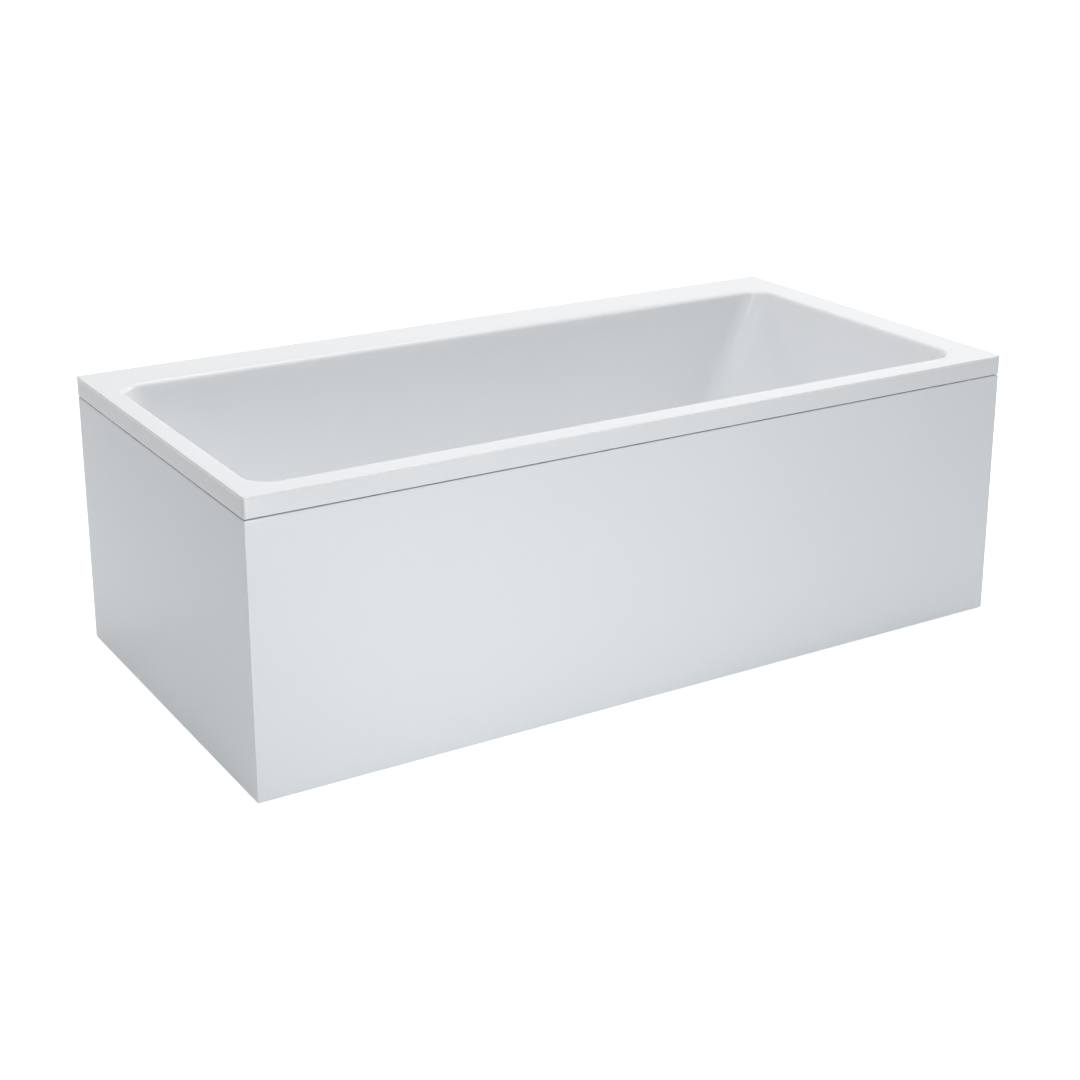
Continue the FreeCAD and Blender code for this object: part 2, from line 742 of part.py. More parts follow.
def front_clip_xs():
    """Places of the front panel's clips and brackets."""
    return spread(FRONT_CLIPS, END_X0 + CLIP_END_INSET, END_X1 - CLIP_END_INSET)


def panel_holders():
    """Upper clips and lower brackets of both panels, each named."""
    seat = RIM_UNDERSIDE - BATTEN_HEIGHT
    front_tip = -(PANEL_Y0 + PANEL_SHEET + PANEL_RETURN - FORK_BITE)
    front_back = front_tip - FORK_BITE - CLIP_STRIP - FORK_CLEARANCE
    end_tip = -(PANEL_X0 + PANEL_SHEET + PANEL_RETURN - FORK_BITE)
    end_back = end_tip - FORK_BITE - CLIP_STRIP - FORK_CLEARANCE
    front_clip = strip_profile(clip_points(front_back, front_tip, seat), "front")
    end_clip = strip_profile(clip_points(end_back, end_tip, seat), "end")
    front_rail_face = -(FRONT_RAIL_Y - TUBE / 2)
    front_bracket = strip_profile(bracket_points(front_rail_face, front_back, front_tip), "front")
    end_bracket = strip_profile(bracket_points(-RAIL_X0, end_back, end_tip), "end")

    holders = {}
    for number, x in enumerate(front_clip_xs(), 1):
        holders["front_clip_%d" % number] = moved(front_clip, x)
        bracket_x = min(x, RAIL_X1 - CLIP_WIDTH / 2)
        holders["front_bracket_%d" % number] = moved(front_bracket, bracket_x)
    for number, y in enumerate((FRONT_RAIL_Y, BACK_RAIL_Y)[:END_CLIPS], 1):
        holders["end_clip_%d" % number] = moved(end_clip, 0, y)
        holders["end_bracket_%d" % number] = moved(end_bracket, 0, y)
    return holders


# ---------------------------------------------------------------- wall anchors
def wall_anchor():
    """Hook plate for a wall at reach 0: outline of (reach, height), holes along the reach."""
    outline = [
        (0, LIP_BOTTOM - ANCHOR_DROP),
        (0, LIP_BOTTOM),
        (SHEET, LIP_BOTTOM),
        (SHEET, LIP_BOTTOM + ANCHOR_HOOK),
        (SHEET + ANCHOR_STRIP, LIP_BOTTOM + ANCHOR_HOOK),
        (SHEET + ANCHOR_STRIP, LIP_BOTTOM - ANCHOR_STRIP),
        (ANCHOR_STRIP, LIP_BOTTOM - ANCHOR_STRIP),
        (ANCHOR_STRIP, LIP_BOTTOM - ANCHOR_DROP),
    ]
    points = [V(-ANCHOR_WIDTH / 2, -reach, z) for reach, z in outline]
    anchor = prism(points, V(ANCHOR_WIDTH, 0, 0))
    for z in anchor_hole_zs():
        hole = Part.makeCylinder(ANCHOR_HOLE_R, 4 * ANCHOR_STRIP, V(0, ANCHOR_STRIP, z), V(0, -1, 0))
        anchor = anchor.cut(hole)
    return anchor


def anchor_hole_zs():
    """Heights of an anchor's two wall screws."""
    first = LIP_BOTTOM - ANCHOR_DROP + ANCHOR_FIRST_HOLE
    return (first, first + ANCHOR_HOLE_PITCH)


def wall_anchors():
    """Two anchors on the back wall and one on the wall at the backrest end."""
    anchor = wall_anchor()
    anchors = {}
    for number, x in enumerate((END_X0 + BACK_ANCHOR_INSET, END_X1 - BACK_ANCHOR_INSET), 1):
        anchors["wall_anchor_back_%d" % number] = moved(anchor, x, BACK_Y)
    turned = anchor.copy()
    turned.rotate(V(0, 0, 0), Z_AXIS, -90)
    anchors["wall_anchor_end"] = moved(turned, END_X1, (FRONT_Y + BACK_Y) / 2)
    return anchors


# ---------------------------------------------------------------- drain
def at_drain(shape):
    """Shape built about Z, moved to the drain."""
    return moved(shape, DRAIN_X, BASIN_Y)


def drain_flange():
    """Flange with its threaded sleeve, and a spider whose hub guides the stem."""
    sleeve_bottom = FLANGE_BOTTOM - SLEEVE_DROP
    body = revolved([
        (SLEEVE_BORE_R, sleeve_bottom),
        (SLEEVE_R, sleeve_bottom),
        (SLEEVE_R, FLANGE_BOTTOM),
        (FLANGE_R, FLANGE_BOTTOM),
        (FLANGE_R, FLANGE_BOTTOM + FLANGE / 2),
        (FLANGE_R - FLANGE, FLANGE_TOP),
        (SLEEVE_BORE_R + 1, FLANGE_TOP),
        (SLEEVE_BORE_R, FLANGE_TOP - 1),
    ])
    hub_top = FLANGE_TOP - HUB_DROP
    hub_bottom = hub_top - HUB_LENGTH
    spider = cylinder(HUB_R, hub_bottom, hub_top)
    for k in range(SPIDER_ARMS):
        arm = box(0, SLEEVE_BORE_R + 1, -SPIDER_ARM / 2, SPIDER_ARM / 2, hub_bottom, hub_top)
        arm.rotate(V(0, 0, 0), Z_AXIS, 360.0 / SPIDER_ARMS * k)
        spider = spider.fuse(arm)
    spider = spider.cut(cylinder(STEM_R + STEM_CLEARANCE, hub_bottom - 1, hub_top + 1))
    return at_drain(body.fuse(spider).removeSplitter())


def plug_parts():
    """Domed cap, its sealing ring and the stem that runs in the hub."""
    cap_bottom = FLANGE_TOP + SEAT_CLEARANCE + PLUG_SEAL
    crown_z = cap_bottom + PLUG_EDGE + PLUG_CROWN
    dome_r = (PLUG_R ** 2 + PLUG_CROWN ** 2) / (2 * PLUG_CROWN)
    half_angle = math.asin(PLUG_R / dome_r) / 2
    dome_middle = V(dome_r * math.sin(half_angle), 0, crown_z - dome_r * (1 - math.cos(half_angle)))
    dome = Part.Arc(V(PLUG_R, 0, cap_bottom + PLUG_EDGE), dome_middle, V(0, 0, crown_z)).toShape()
    rest = Part.makePolygon([V(0, 0, crown_z), V(0, 0, cap_bottom), V(PLUG_R, 0, cap_bottom),
                             V(PLUG_R, 0, cap_bottom + PLUG_EDGE)])
    cap = Part.Face(Part.Wire([dome] + rest.Edges)).revolve(V(0, 0, 0), Z_AXIS, 360)
    seal = ring(PLUG_SEAL_R, PLUG_SEAL_R - PLUG_SEAL_WIDTH, cap_bottom - PLUG_SEAL, cap_bottom)
    hub_bottom = FLANGE_TOP - HUB_DROP - HUB_LENGTH
    stop_top = hub_bottom - PLUG_LIFT - SEAT_CLEARANCE
    stem = cylinder(STEM_R, stop_top - STEM_STOP, cap_bottom)
    stem = stem.fuse(cylinder(STEM_STOP_R, stop_top - STEM_STOP, stop_top)).removeSplitter()
    return {
        "plug_cap": at_drain(cap),
        "plug_seal": at_drain(seal),
        "plug_stem": at_drain(stem),
    }


def drain_seals():
    """Flat seals above and below the shell."""
    upper = ring(FLANGE_R - 2, DRAIN_HOLE_R, DISH_Z, FLANGE_BOTTOM)
    lower = ring(TRAP_FLANGE_R, INLET_R, TRAP_TOP, DISH_UNDERSIDE)
    return {"drain_seal_upper": at_drain(upper), "drain_seal_lower": at_drain(lower)}


# ---------------------------------------------------------------- trap
def level_cylinder(radius, start, heading, length):
    """Cylinder from a point along a level heading."""
    return Part.makeCylinder(radius, length, start, heading)


def ribbed_nut(outer, inner, length, ribs):
    """Round nut about Z with grip ribs round its outside."""
    nut = cylinder(outer - NUT_RIB_R / 2, 0, length)
    for k in range(ribs):
        angle = 2 * math.pi * k / ribs
        reach = outer - NUT_RIB_R
        nut = nut.fuse(cylinder(NUT_RIB_R, 0, length,
                                reach * math.cos(angle), reach * math.sin(angle)))
    return nut.cut(cylinder(inner, -1, length + 1)).removeSplitter()


def trap_body():
    """Cup trap: flange and inlet, dip tube, cup, outlet collar, overflow port, cable boss."""
    cup = cylinder(CUP_R, CUP_BOTTOM, CUP_TOP)
    cup = cup.makeFillet(CUP_EDGE_R, [e for e in cup.Edges if e.Length > CUP_R])
    inlet = cylinder(INLET_R, CUP_TOP - 1, TRAP_TOP)
    flange = cylinder(TRAP_FLANGE_R, TRAP_TOP - TRAP_FLANGE, TRAP_TOP)
    port = level_cylinder(PIPE_R + SOCKET_WALL, V(-PORT_REACH, 0, PORT_Z), X_AXIS, PORT_REACH)
    collar_start = V(0, CUP_R - CUP_EDGE_R, OUTLET_Z)
    collar = level_cylinder(OUTLET_COLLAR_R, collar_start, Y_AXIS, OUTLET_COLLAR_REACH)
    boss_x, boss_y = cable_boss_place()
    boss = cylinder(CABLE_BOSS_R, CUP_TOP - TRAP_WALL, CUP_TOP + CABLE_BOSS, boss_x, boss_y)
    outside = cup.fuse([inlet, flange, port, collar, boss])

    cavity = cylinder(CUP_R - TRAP_WALL, CUP_BOTTOM + TRAP_WALL, CUP_TOP - TRAP_WALL)
    cavity = cavity.makeFillet(CUP_EDGE_R - TRAP_WALL, [e for e in cavity.Edges if e.Length > CUP_R])
    dip_tube = ring(SLEEVE_R, SLEEVE_R - TRAP_WALL, DIP_BOTTOM, CUP_TOP - TRAP_WALL)
    cavity = cavity.cut(dip_tube)
    throat = cylinder(SLEEVE_R, FLANGE_BOTTOM - SLEEVE_DROP, TRAP_TOP + 1)
    neck = cylinder(SLEEVE_R - TRAP_WALL, CUP_TOP - TRAP_WALL - 1, TRAP_TOP)
    port_bore = level_cylinder(PIPE_R, V(-PORT_REACH - 1, 0, PORT_Z), X_AXIS, PORT_REACH - SLEEVE_R - 1)
    port_way = level_cylinder(PIPE_R - PIPE_WALL, V(-PORT_REACH, 0, PORT_Z), X_AXIS, PORT_REACH)
    outlet_bore = level_cylinder(OUTLET_R, collar_start, Y_AXIS, OUTLET_COLLAR_REACH + 1)
    body = outside.cut([cavity, throat, neck, port_bore, port_way, outlet_bore])
    return at_drain(body.removeSplitter())


def outlet_places():
    """Points of the outlet elbow's middle line, from inside the collar to the free end."""
    start = V(DRAIN_X, BASIN_Y + CUP_R, OUTLET_Z)
    corner = start + Y_AXIS * OUTLET_RUN
    turn = math.radians(OUTLET_TURN)
    end = corner + V(math.sin(turn), math.cos(turn), 0) * OUTLET_SPIGOT
    return [start, corner, end]


def outlet_parts():
    """Compression nut and 45 degree elbow with a plain spigot."""
    nut = ribbed_nut(OUTLET_NUT_R, OUTLET_R, OUTLET_NUT_LENGTH, NUT_RIBS)
    nut.rotate(V(0, 0, 0), X_AXIS, -90)
    nut_y = BASIN_Y + CUP_R - CUP_EDGE_R + OUTLET_COLLAR_REACH
    nut = moved(nut, DRAIN_X, nut_y, OUTLET_Z)
    elbow = tube_along(outlet_places(), OUTLET_BEND_R, OUTLET_R, OUTLET_WALL)
    return {"outlet_nut": nut, "outlet_elbow": elbow}


# ---------------------------------------------------------------- overflow
def overflow_placement():
    """Frame on the inner face of the drain end: Z out of the wall, X down the slope."""
    slope = math.radians(DRAIN_END_SLOPE)
    wall_x = MOUTH_X0 + OVERFLOW_DROP * math.tan(slope)
    turn = FreeCAD.Rotation(Y_AXIS, 90 - DRAIN_END_SLOPE)
    return FreeCAD.Placement(V(wall_x, BASIN_Y, OVERFLOW_Z), turn)


def on_end_wall(shape):
    """Shape built on the wall's own frame, moved to the overflow."""
    copy = shape.copy()
    copy.Placement = overflow_placement().multiply(shape.Placement)
    return copy


def wall_point(down, across, out):
    """Point given in the overflow's own frame."""
    return overflow_placement().multVec(V(down, across, out))


def plate_screw_places():
    """Two screws, one each side of the knob's hub."""
    return ((0, -PLATE_SCREW_SPREAD / 2), (0, PLATE_SCREW_SPREAD / 2))


def overflow_body():
    """Cup behind the wall with screw pillars and a socket for the overflow pipe."""
    body = ring(BODY_R, BODY_R - BODY_WALL, BODY_BACK + BODY_WALL, GASKET_BACK)
    body = body.fuse(cylinder(BODY_R, BODY_BACK, BODY_BACK + BODY_WALL))
    for x, y in plate_screw_places():
        body = body.fuse(cylinder(PILLAR_R, BODY_BACK + 1, GASKET_BACK, x, y))
    socket_start = V(BODY_R - 2 * BODY_WALL, 0, PIPE_OFFSET)
    socket_length = SOCKET_REACH - socket_start.x
    socket = level_cylinder(PIPE_R + SOCKET_WALL, socket_start, X_AXIS, socket_length)
    cable_start = V(0, CABLE_SIDE, PIPE_OFFSET)
    cable_boss = level_cylinder(CABLE_R + 2, cable_start, X_AXIS, BODY_R)
    body = body.fuse([socket, cable_boss])
    inside = cylinder(BODY_R - BODY_WALL, BODY_BACK + BODY_WALL, GASKET_BACK)
    for x, y in plate_screw_places():
        inside = inside.cut(cylinder(PILLAR_R, BODY_BACK, GASKET_BACK, x, y))
    bore = level_cylinder(PIPE_R, V(0, 0, PIPE_OFFSET), X_AXIS, SOCKET_REACH + 1)
    cable_way = level_cylinder(CABLE_R, V(0, CABLE_SIDE, PIPE_OFFSET), X_AXIS, BODY_R + 1)
    body = body.cut([inside, bore, cable_way])
    for x, y in plate_screw_places():
        body = body.cut(cylinder(PLATE_SCREW_R, BODY_BACK + BODY_WALL, GASKET_BACK + 1, x, y))
    return on_end_wall(body.removeSplitter())


def overflow_gasket():
    """Flat ring between the wall and the overflow body."""
    return on_end_wall(ring(GASKET_R, OVERFLOW_HOLE_R, GASKET_BACK, BACK_OF_WALL))


def overflow_plate():
    """Face plate with its sleeve, crossbar and the hub that carries the knob."""
    plate = revolved([
        (PLATE_OPENING_R, GASKET_BACK),
        (PLATE_SLEEVE_R, GASKET_BACK),
        (PLATE_SLEEVE_R, 0),
        (PLATE_R, 0),
        (PLATE_R, PLATE / 2),
        (PLATE_R - PLATE, PLATE),
        (PLATE_OPENING_R, PLATE),
    ])
    half = PLATE_OPENING_R + 1
    plate = plate.fuse(box(-CROSSBAR / 2, CROSSBAR / 2, -half, half, GASKET_BACK, PLATE))
    plate = plate.fuse(cylinder(KNOB_HUB_R, GASKET_BACK, PLATE))
    plate = plate.cut(cylinder(KNOB_SHAFT_R + KNOB_CLEARANCE, GASKET_BACK - 1, PLATE + 1))
    for x, y in plate_screw_places():
        plate = plate.cut(cylinder(PLATE_SCREW_R, GASKET_BACK - 1, PLATE + 1, x, y))
    return on_end_wall(plate.removeSplitter())


def overflow_screws():
    """Screws that draw the face plate and the body together through the wall."""
    screws = []
    for x, y in plate_screw_places():
        shank = cylinder(PLATE_SCREW_R, BODY_BACK + 2 * BODY_WALL, PLATE, x, y)
        head = cylinder(PLATE_SCREW_HEAD_R, PLATE, PLATE + PLATE_SCREW_HEAD, x, y)
        screws.append(on_end_wall(shank.fuse(head).removeSplitter()))
    return Part.makeCompound(screws)


def overflow_knob():
    """Rotary cap with scalloped edge, its shaft and the cable drum inside the body."""
    back = PLATE + KNOB_GAP
    front = back + KNOB_THICKNESS
    cap = cylinder(KNOB_R, back, front)
    rims = [e for e in cap.Edges if e.Length > KNOB_R]
    cap = cap.makeFillet(KNOB_EDGE_R, rims)
    for k in range(KNOB_SCALLOPS):
        angle = 2 * math.pi * (k + 0.5) / KNOB_SCALLOPS
        reach = KNOB_R + KNOB_SCALLOP_R - KNOB_SCALLOP_DEPTH
        cap = cap.cut(cylinder(KNOB_SCALLOP_R, back - 1, front + 1,
                               reach * math.cos(angle), reach * math.sin(angle)))
    drum_bottom = BODY_BACK + BODY_WALL + 1
    shaft = cylinder(KNOB_SHAFT_R, drum_bottom, back)
    drum = cylinder(DRUM_R, drum_bottom, drum_bottom + DRUM)
    return on_end_wall(cap.fuse([shaft, drum]).removeSplitter())


def pipe_points():
    """Middle line of the overflow pipe: down the back of the sloping wall, then level."""
    top = wall_point(SOCKET_REACH - PIPE_R, 0, PIPE_OFFSET)
    slope = math.radians(DRAIN_END_SLOPE)
    corner = top + V(math.tan(slope), 0, -1) * (top.z - PORT_Z)
    end = V(DRAIN_X - SLEEVE_R - 2, BASIN_Y, PORT_Z)
    return [top, corner, end]


def overflow_pipe_parts():
    """Overflow pipe with a ribbed nut at each socket."""
    pipe = tube_along(pipe_points(), PIPE_BEND_R, PIPE_R, PIPE_WALL)
    upper = ribbed_nut(PIPE_NUT_R, PIPE_R, PIPE_NUT_LENGTH, NUT_RIBS)
    upper.rotate(V(0, 0, 0), Y_AXIS, 90)
    upper = on_end_wall(Part.makeCompound([moved(upper, SOCKET_REACH, 0, PIPE_OFFSET)]))
    lower = ribbed_nut(PIPE_NUT_R, PIPE_R, PIPE_NUT_LENGTH, NUT_RIBS)
    lower.rotate(V(0, 0, 0), Y_AXIS, -90)
    lower = moved(lower, DRAIN_X - PORT_REACH, BASIN_Y, PORT_Z)
    return {
        "overflow_pipe": pipe,
        "overflow_nut_upper": upper.Solids[0],
        "overflow_nut_lower": lower,
    }


def cable_boss_place():
    """Cable entry on the trap's roof, from the drain's middle."""
    return (-(CUP_R - CUP_EDGE_R - CABLE_BOSS_R) * 0.75, CABLE_SIDE)


def control_cable():
    """Cable sheath from the overflow body beside the pipe to the trap's roof."""
    boss_x, boss_y = cable_boss_place()
    top = wall_point(BODY_R - 1, CABLE_SIDE, PIPE_OFFSET)
    low_z = PORT_Z + PIPE_R
    slope = math.radians(DRAIN_END_SLOPE)
    corner = top + V(math.tan(slope), 0, -1) * (top.z - low_z)
    over = V(DRAIN_X + boss_x, BASIN_Y + boss_y, low_z)
    end = V(over.x, over.y, CUP_TOP + CABLE_BOSS)
    return bar_along(route([top, corner, over, end], CABLE_BEND_R), CABLE_R)


# ---------------------------------------------------------------- assembly
def build():
    """Every node of the bathtub by name."""
    nodes = {
        "tub_shell": tub_shell(),
        "floor_reinforcement": floor_reinforcement(),
        "base_board": base_board(),
    }
    nodes.update(rim_battens())

    nodes["long_rail_front"] = long_rail(FRONT_RAIL_Y)
    nodes["long_rail_back"] = long_rail(BACK_RAIL_Y)
    for number, rail_x in enumerate(cross_rail_xs(), 1):
        nodes["cross_rail_%d" % number] = cross_rail(rail_x)
    nodes["board_screws"] = board_screws()

    weld_nuts = []
    lock_nuts = []
    for number, (x, y) in enumerate(foot_places(), 1):
        weld_nuts.append(foot_nut(NUT_BOTTOM, TUBE_BOTTOM, x, y))
        lock_nuts.append(foot_nut(LOCK_BOTTOM, NUT_BOTTOM, x, y))
        nodes["foot_rod_%d" % number] = foot_rod(x, y)
        nodes["foot_pad_%d" % number] = foot_pad(x, y)
    nodes["foot_weld_nuts"] = Part.makeCompound(weld_nuts)
    nodes["foot_lock_nuts"] = Part.makeCompound(lock_nuts)

    nodes["front_panel"] = front_panel()
    nodes["end_panel"] = end_panel()
    nodes.update(panel_boards())
    nodes.update(panel_holders())
    nodes.update(wall_anchors())

    nodes["drain_flange"] = drain_flange()
    nodes.update(drain_seals())
    nodes.update(plug_parts())
    nodes["trap_body"] = trap_body()
    nodes.update(outlet_parts())

    nodes["overflow_body"] = overflow_body()
    nodes["overflow_gasket"] = overflow_gasket()
    nodes["overflow_plate"] = overflow_plate()
    nodes["overflow_screws"] = overflow_screws()
    nodes["overflow_knob"] = overflow_knob()
    nodes.update(overflow_pipe_parts())
    nodes["control_cable"] = control_cable()
    return nodes


def main():
    """Build the nodes and write one STEP file for each."""
    os.makedirs("parts", exist_ok=True)
    for name, shape in build().items():
        shape.exportStep("parts/%s.step" % name)
        print("%-26s solids %d valid %s volume %.0f" % (
            name, len(shape.Solids), shape.isValid(), shape.Volume))


main()
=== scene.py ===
"""Looks of the bathtub with front and end panels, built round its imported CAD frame.

Everything is in metres.  +X runs along the length towards the backrest, +Y
towards the back wall and +Z up; the origin is at floor level under the middle.
"""
import json
import math

import bmesh
import bpy
import numpy as np
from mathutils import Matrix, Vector


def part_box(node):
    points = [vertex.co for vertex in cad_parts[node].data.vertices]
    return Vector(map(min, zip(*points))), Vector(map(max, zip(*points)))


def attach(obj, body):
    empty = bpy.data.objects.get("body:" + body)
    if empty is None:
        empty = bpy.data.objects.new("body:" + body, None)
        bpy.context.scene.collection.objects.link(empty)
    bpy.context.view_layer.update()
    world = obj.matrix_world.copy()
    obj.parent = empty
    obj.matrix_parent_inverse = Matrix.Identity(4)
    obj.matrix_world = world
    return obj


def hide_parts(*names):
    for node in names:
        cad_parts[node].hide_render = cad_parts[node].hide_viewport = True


bl_info = {
    "name": "Panelled bathtub",
    "version": (1, 0, 0),
    "blender": (4, 5, 0),
    "location": "View3D > Sidebar > Bathtub",
    "description": "Builds the acrylic shell, panels, fittings and feet of a bathtub",
    "category": "Add Mesh",
}

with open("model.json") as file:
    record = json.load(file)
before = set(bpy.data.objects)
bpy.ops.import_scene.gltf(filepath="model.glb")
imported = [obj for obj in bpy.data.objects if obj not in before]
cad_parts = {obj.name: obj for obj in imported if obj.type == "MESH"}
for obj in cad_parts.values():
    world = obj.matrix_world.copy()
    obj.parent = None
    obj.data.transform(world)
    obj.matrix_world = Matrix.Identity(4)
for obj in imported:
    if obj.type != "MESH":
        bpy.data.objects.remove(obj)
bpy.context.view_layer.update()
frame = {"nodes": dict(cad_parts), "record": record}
SHELL_LOW, SHELL_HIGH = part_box("tub_shell")
FRONT_LOW, FRONT_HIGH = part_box("front_panel")
END_LOW, END_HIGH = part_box("end_panel")


# ---------------------------------------------------------------- settings
def length(name, description, default):
    """Length property in metres."""
    return bpy.props.FloatProperty(name=name, description=description, default=default,
                                   min=0.0, precision=4, unit="LENGTH", subtype="DISTANCE")


def slope(name, description, degrees):
    """Angle property, given in degrees from the vertical."""
    return bpy.props.FloatProperty(name=name, description=description,
                                   default=math.radians(degrees), unit="ROTATION", subtype="ANGLE")


def colour(name, description, default):
    """Colour property."""
    return bpy.props.FloatVectorProperty(name=name, description=description, default=default,
                                         size=3, min=0.0, max=1.0, subtype="COLOR")


def factor(name, description, default):
    """Property that is a share from 0 to 1."""
    return bpy.props.FloatProperty(name=name, description=description, default=default,
                                   min=0.0, max=1.0, subtype="FACTOR")


def watts(name, description, default):
    """Power property of a lamp."""
    return bpy.props.FloatProperty(name=name, description=description, default=default,
                                   min=0.0, unit="POWER")


class BathtubShellSettings(bpy.types.PropertyGroup):
    """Sizes of the formed shell."""

    sheet: length("Sheet", "Thickness of the formed sheet with its backing", 0.005)
    lip: length("Lip", "Height of the straight lip under the rim", 0.04)
    lip_corner: length("Lip corner", "Radius of the lip's upright corners", 0.006)
    rim_edge: length("Rim edge", "Radius along the rim's outer edge", 0.002)
    rim_bead: length("Rim bead", "Height of the rolled edge that stands proud of the lip", 0.005)
    lip_recess: length("Lip recess", "How far the lip lies behind the rolled edge", 0.0012)
    rim_drain_end: length("Rim at the drain", "Width of the rim at the drain end", 0.045)
    rim_backrest_end: length("Rim at the backrest", "Width of the rim at the backrest", 0.074)
    rim_front: length("Front rim", "Width of the rim at the front", 0.056)
    rim_back: length("Back rim", "Width of the rim at the back wall", 0.116)
    mouth_edge: length("Mouth edge", "Radius along the rim's inner edge", 0.012)
    mouth_corner: length("Mouth corner", "Corner radius of the basin at the rim", 0.05)
    floor_corner: length("Floor corner", "Corner radius of the basin at its floor", 0.072)
    floor_edge: length("Floor edge", "How far the hollow between walls and floor reaches", 0.05)
    floor_height: length("Floor height", "Height of the basin floor at the drain", 0.15)
    floor_fall: factor("Floor fall", "Fall of the floor towards the drain", 0.009)
    drain_end_slope: slope("Drain end slope", "Lean of the wall at the drain end", 12.0)
    backrest_slope: slope("Backrest slope", "Lean of the backrest", 28.0)
    side_slope: slope("Side slope", "Lean of the front and back walls", 6.0)
    drain_inset: length("Drain place", "Middle of the drain from the drain end", 0.25)
    drain_hole: length("Drain hole", "Radius of the drain hole", 0.026)
    dish: length("Dish", "Radius of the dish round the drain", 0.043)
    dish_depth: length("Dish depth", "Depth of the dish", 0.004)
    overflow_drop: length("Overflow drop", "Middle of the overflow below the rim", 0.088)
    overflow_hole: length("Overflow hole", "Radius of the overflow hole", 0.026)


class BathtubPanelSettings(bpy.types.PropertyGroup):
    """Sizes of the two panels."""

    sheet: length("Sheet", "Thickness of the panel sheet", 0.004)
    edge: length("Edge", "Radius of the panel's folded edges", 0.002)
    mitre_gap: length("Mitre gap", "Gap between the two panels at their corner", 0.0003)


class BathtubFittingSettings(bpy.types.PropertyGroup):
    """Sizes of knob, plug and feet."""

    knob_radius: length("Knob radius", "Radius of the overflow knob", 0.035)
    knob_thickness: length("Knob thickness", "Thickness of the overflow knob", 0.012)
    knob_gap: length("Knob gap", "Gap between wall and knob", 0.009)
    scallop_radius: length("Scallop radius", "Radius of a finger scallop", 0.014)
    scallop_depth: length("Scallop depth", "Depth of a finger scallop", 0.0016)
    scallops: bpy.props.IntProperty(name="Scallops", description="Finger scallops round the knob",
                                    default=6, min=0, max=24)
    thread_pitch: length("Thread pitch", "Pitch of the foot rods' thread", 0.00175)
    thread_depth: length("Thread depth", "Depth of the foot rods' thread", 0.0009)


class BathtubFinishSettings(bpy.types.PropertyGroup):
    """Colours of the finishes."""

    acrylic: colour("Acrylic", "Gloss acrylic of the shell", (0.888, 0.905, 0.918))
    panel: colour("Panel", "Gloss acrylic of the panels", (0.868, 0.9, 0.924))
    acrylic_roughness: factor("Acrylic roughness", "Roughness of the gloss acrylic", 0.09)
    fibre: colour("Glass fibre", "Resin and glass fibre under the shell", (0.8, 0.78, 0.68))
    chipboard: colour("Chipboard", "Pale flakes of the chipboard", (0.52, 0.38, 0.22))
    batten: colour("Batten", "Pale wood of the battens", (0.62, 0.45, 0.26))
    frame_coat: colour("Frame coat", "Powder coat of the steel frame", (0.035, 0.038, 0.042))
    steel: colour("Steel", "Zinc plated and galvanised steel", (0.56, 0.57, 0.58))
    chrome: colour("Chrome", "Polished plating of the fittings", (0.6, 0.605, 0.61))
    rubber: colour("Rubber", "Seals, foot pads and cable sheath", (0.02, 0.02, 0.022))
    moulded: colour("Moulded plastic", "White moulded trap and pipes", (0.8, 0.8, 0.78))


class BathtubStageSettings(bpy.types.PropertyGroup):
    """Camera, lamps and floor."""

    camera_place: bpy.props.FloatVectorProperty(
        name="Camera place", description="Where the camera stands", size=3,
        default=(-1.998, -3.265, 1.651), unit="LENGTH", subtype="TRANSLATION")
    camera_azimuth: slope("Camera azimuth", "Turn of the camera round the bathtub", -31.25)
    camera_elevation: slope("Camera elevation", "Height of the view above the horizon", 17.73)
    lens: bpy.props.FloatProperty(name="Lens", description="Focal length in millimetres",
                                  default=64.77, min=1.0)
    camera_shift: bpy.props.FloatProperty(name="Camera shift", description="Upward shift of the frame",
                                          default=-0.1)
    sky: factor("Sky", "Even light from all round", 0.185)
    key: watts("Key lamp", "Power of the soft lamp low in front of the panel", 6.2)
    side: watts("Side lamp", "Power of the lamp above the drain end", 21.0)
    top: watts("Top lamp", "Power of the lamp overhead", 99.0)
    end: watts("End lamp", "Power of the lamp beyond the backrest end", 78.0)
    glow: factor("Floor glow", "How far the floor fades to white for the camera", 0.86)
    floor: colour("Floor", "Colour of the floor", (0.84, 0.858, 0.875))


SETTINGS = {
    "bathtub_shell": BathtubShellSettings,
    "bathtub_panels": BathtubPanelSettings,
    "bathtub_fittings": BathtubFittingSettings,
    "bathtub_finishes": BathtubFinishSettings,
    "bathtub_stage": BathtubStageSettings,
}


# ---------------------------------------------------------------- mesh helpers
SHARP_FOLD = math.radians(32)  # a fold beyond this angle isn't shaded smooth


def grid_quads(rows, columns, close_rows=False):
    """Quads between rings of points counted ring by ring; the last may close on the first."""
    row = np.arange(rows if close_rows else rows - 1)
    r, c = np.meshgrid(row, np.arange(columns), indexing="ij")
    r2, c2 = (r + 1) % rows, (c + 1) % columns
    quads = np.stack([r * columns + c, r * columns + c2, r2 * columns + c2, r2 * columns + c], -1)
    return quads.reshape(-1, 4)


def make_mesh(name, points, faces):
    """Mesh of points (n, 3) and faces, shaded smooth but for its sharp folds."""
    mesh = bpy.data.meshes.new(name)
    mesh.from_pydata(points.tolist(), [], [list(f) for f in faces])
    mesh.validate()
    mesh.shade_smooth()
    mesh.set_sharp_from_angle(angle=SHARP_FOLD)
    return mesh


def make_piece(name, mesh, body, materials, replaces):
    """Object of a mesh that rides on a body, takes its finish from a slot and stands for nodes."""
    piece = bpy.data.objects.new(name, mesh)
    bpy.context.scene.collection.objects.link(piece)
    for material in materials:
        mesh.materials.append(material)
    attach(piece, body)
    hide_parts(*replaces)
    return piece


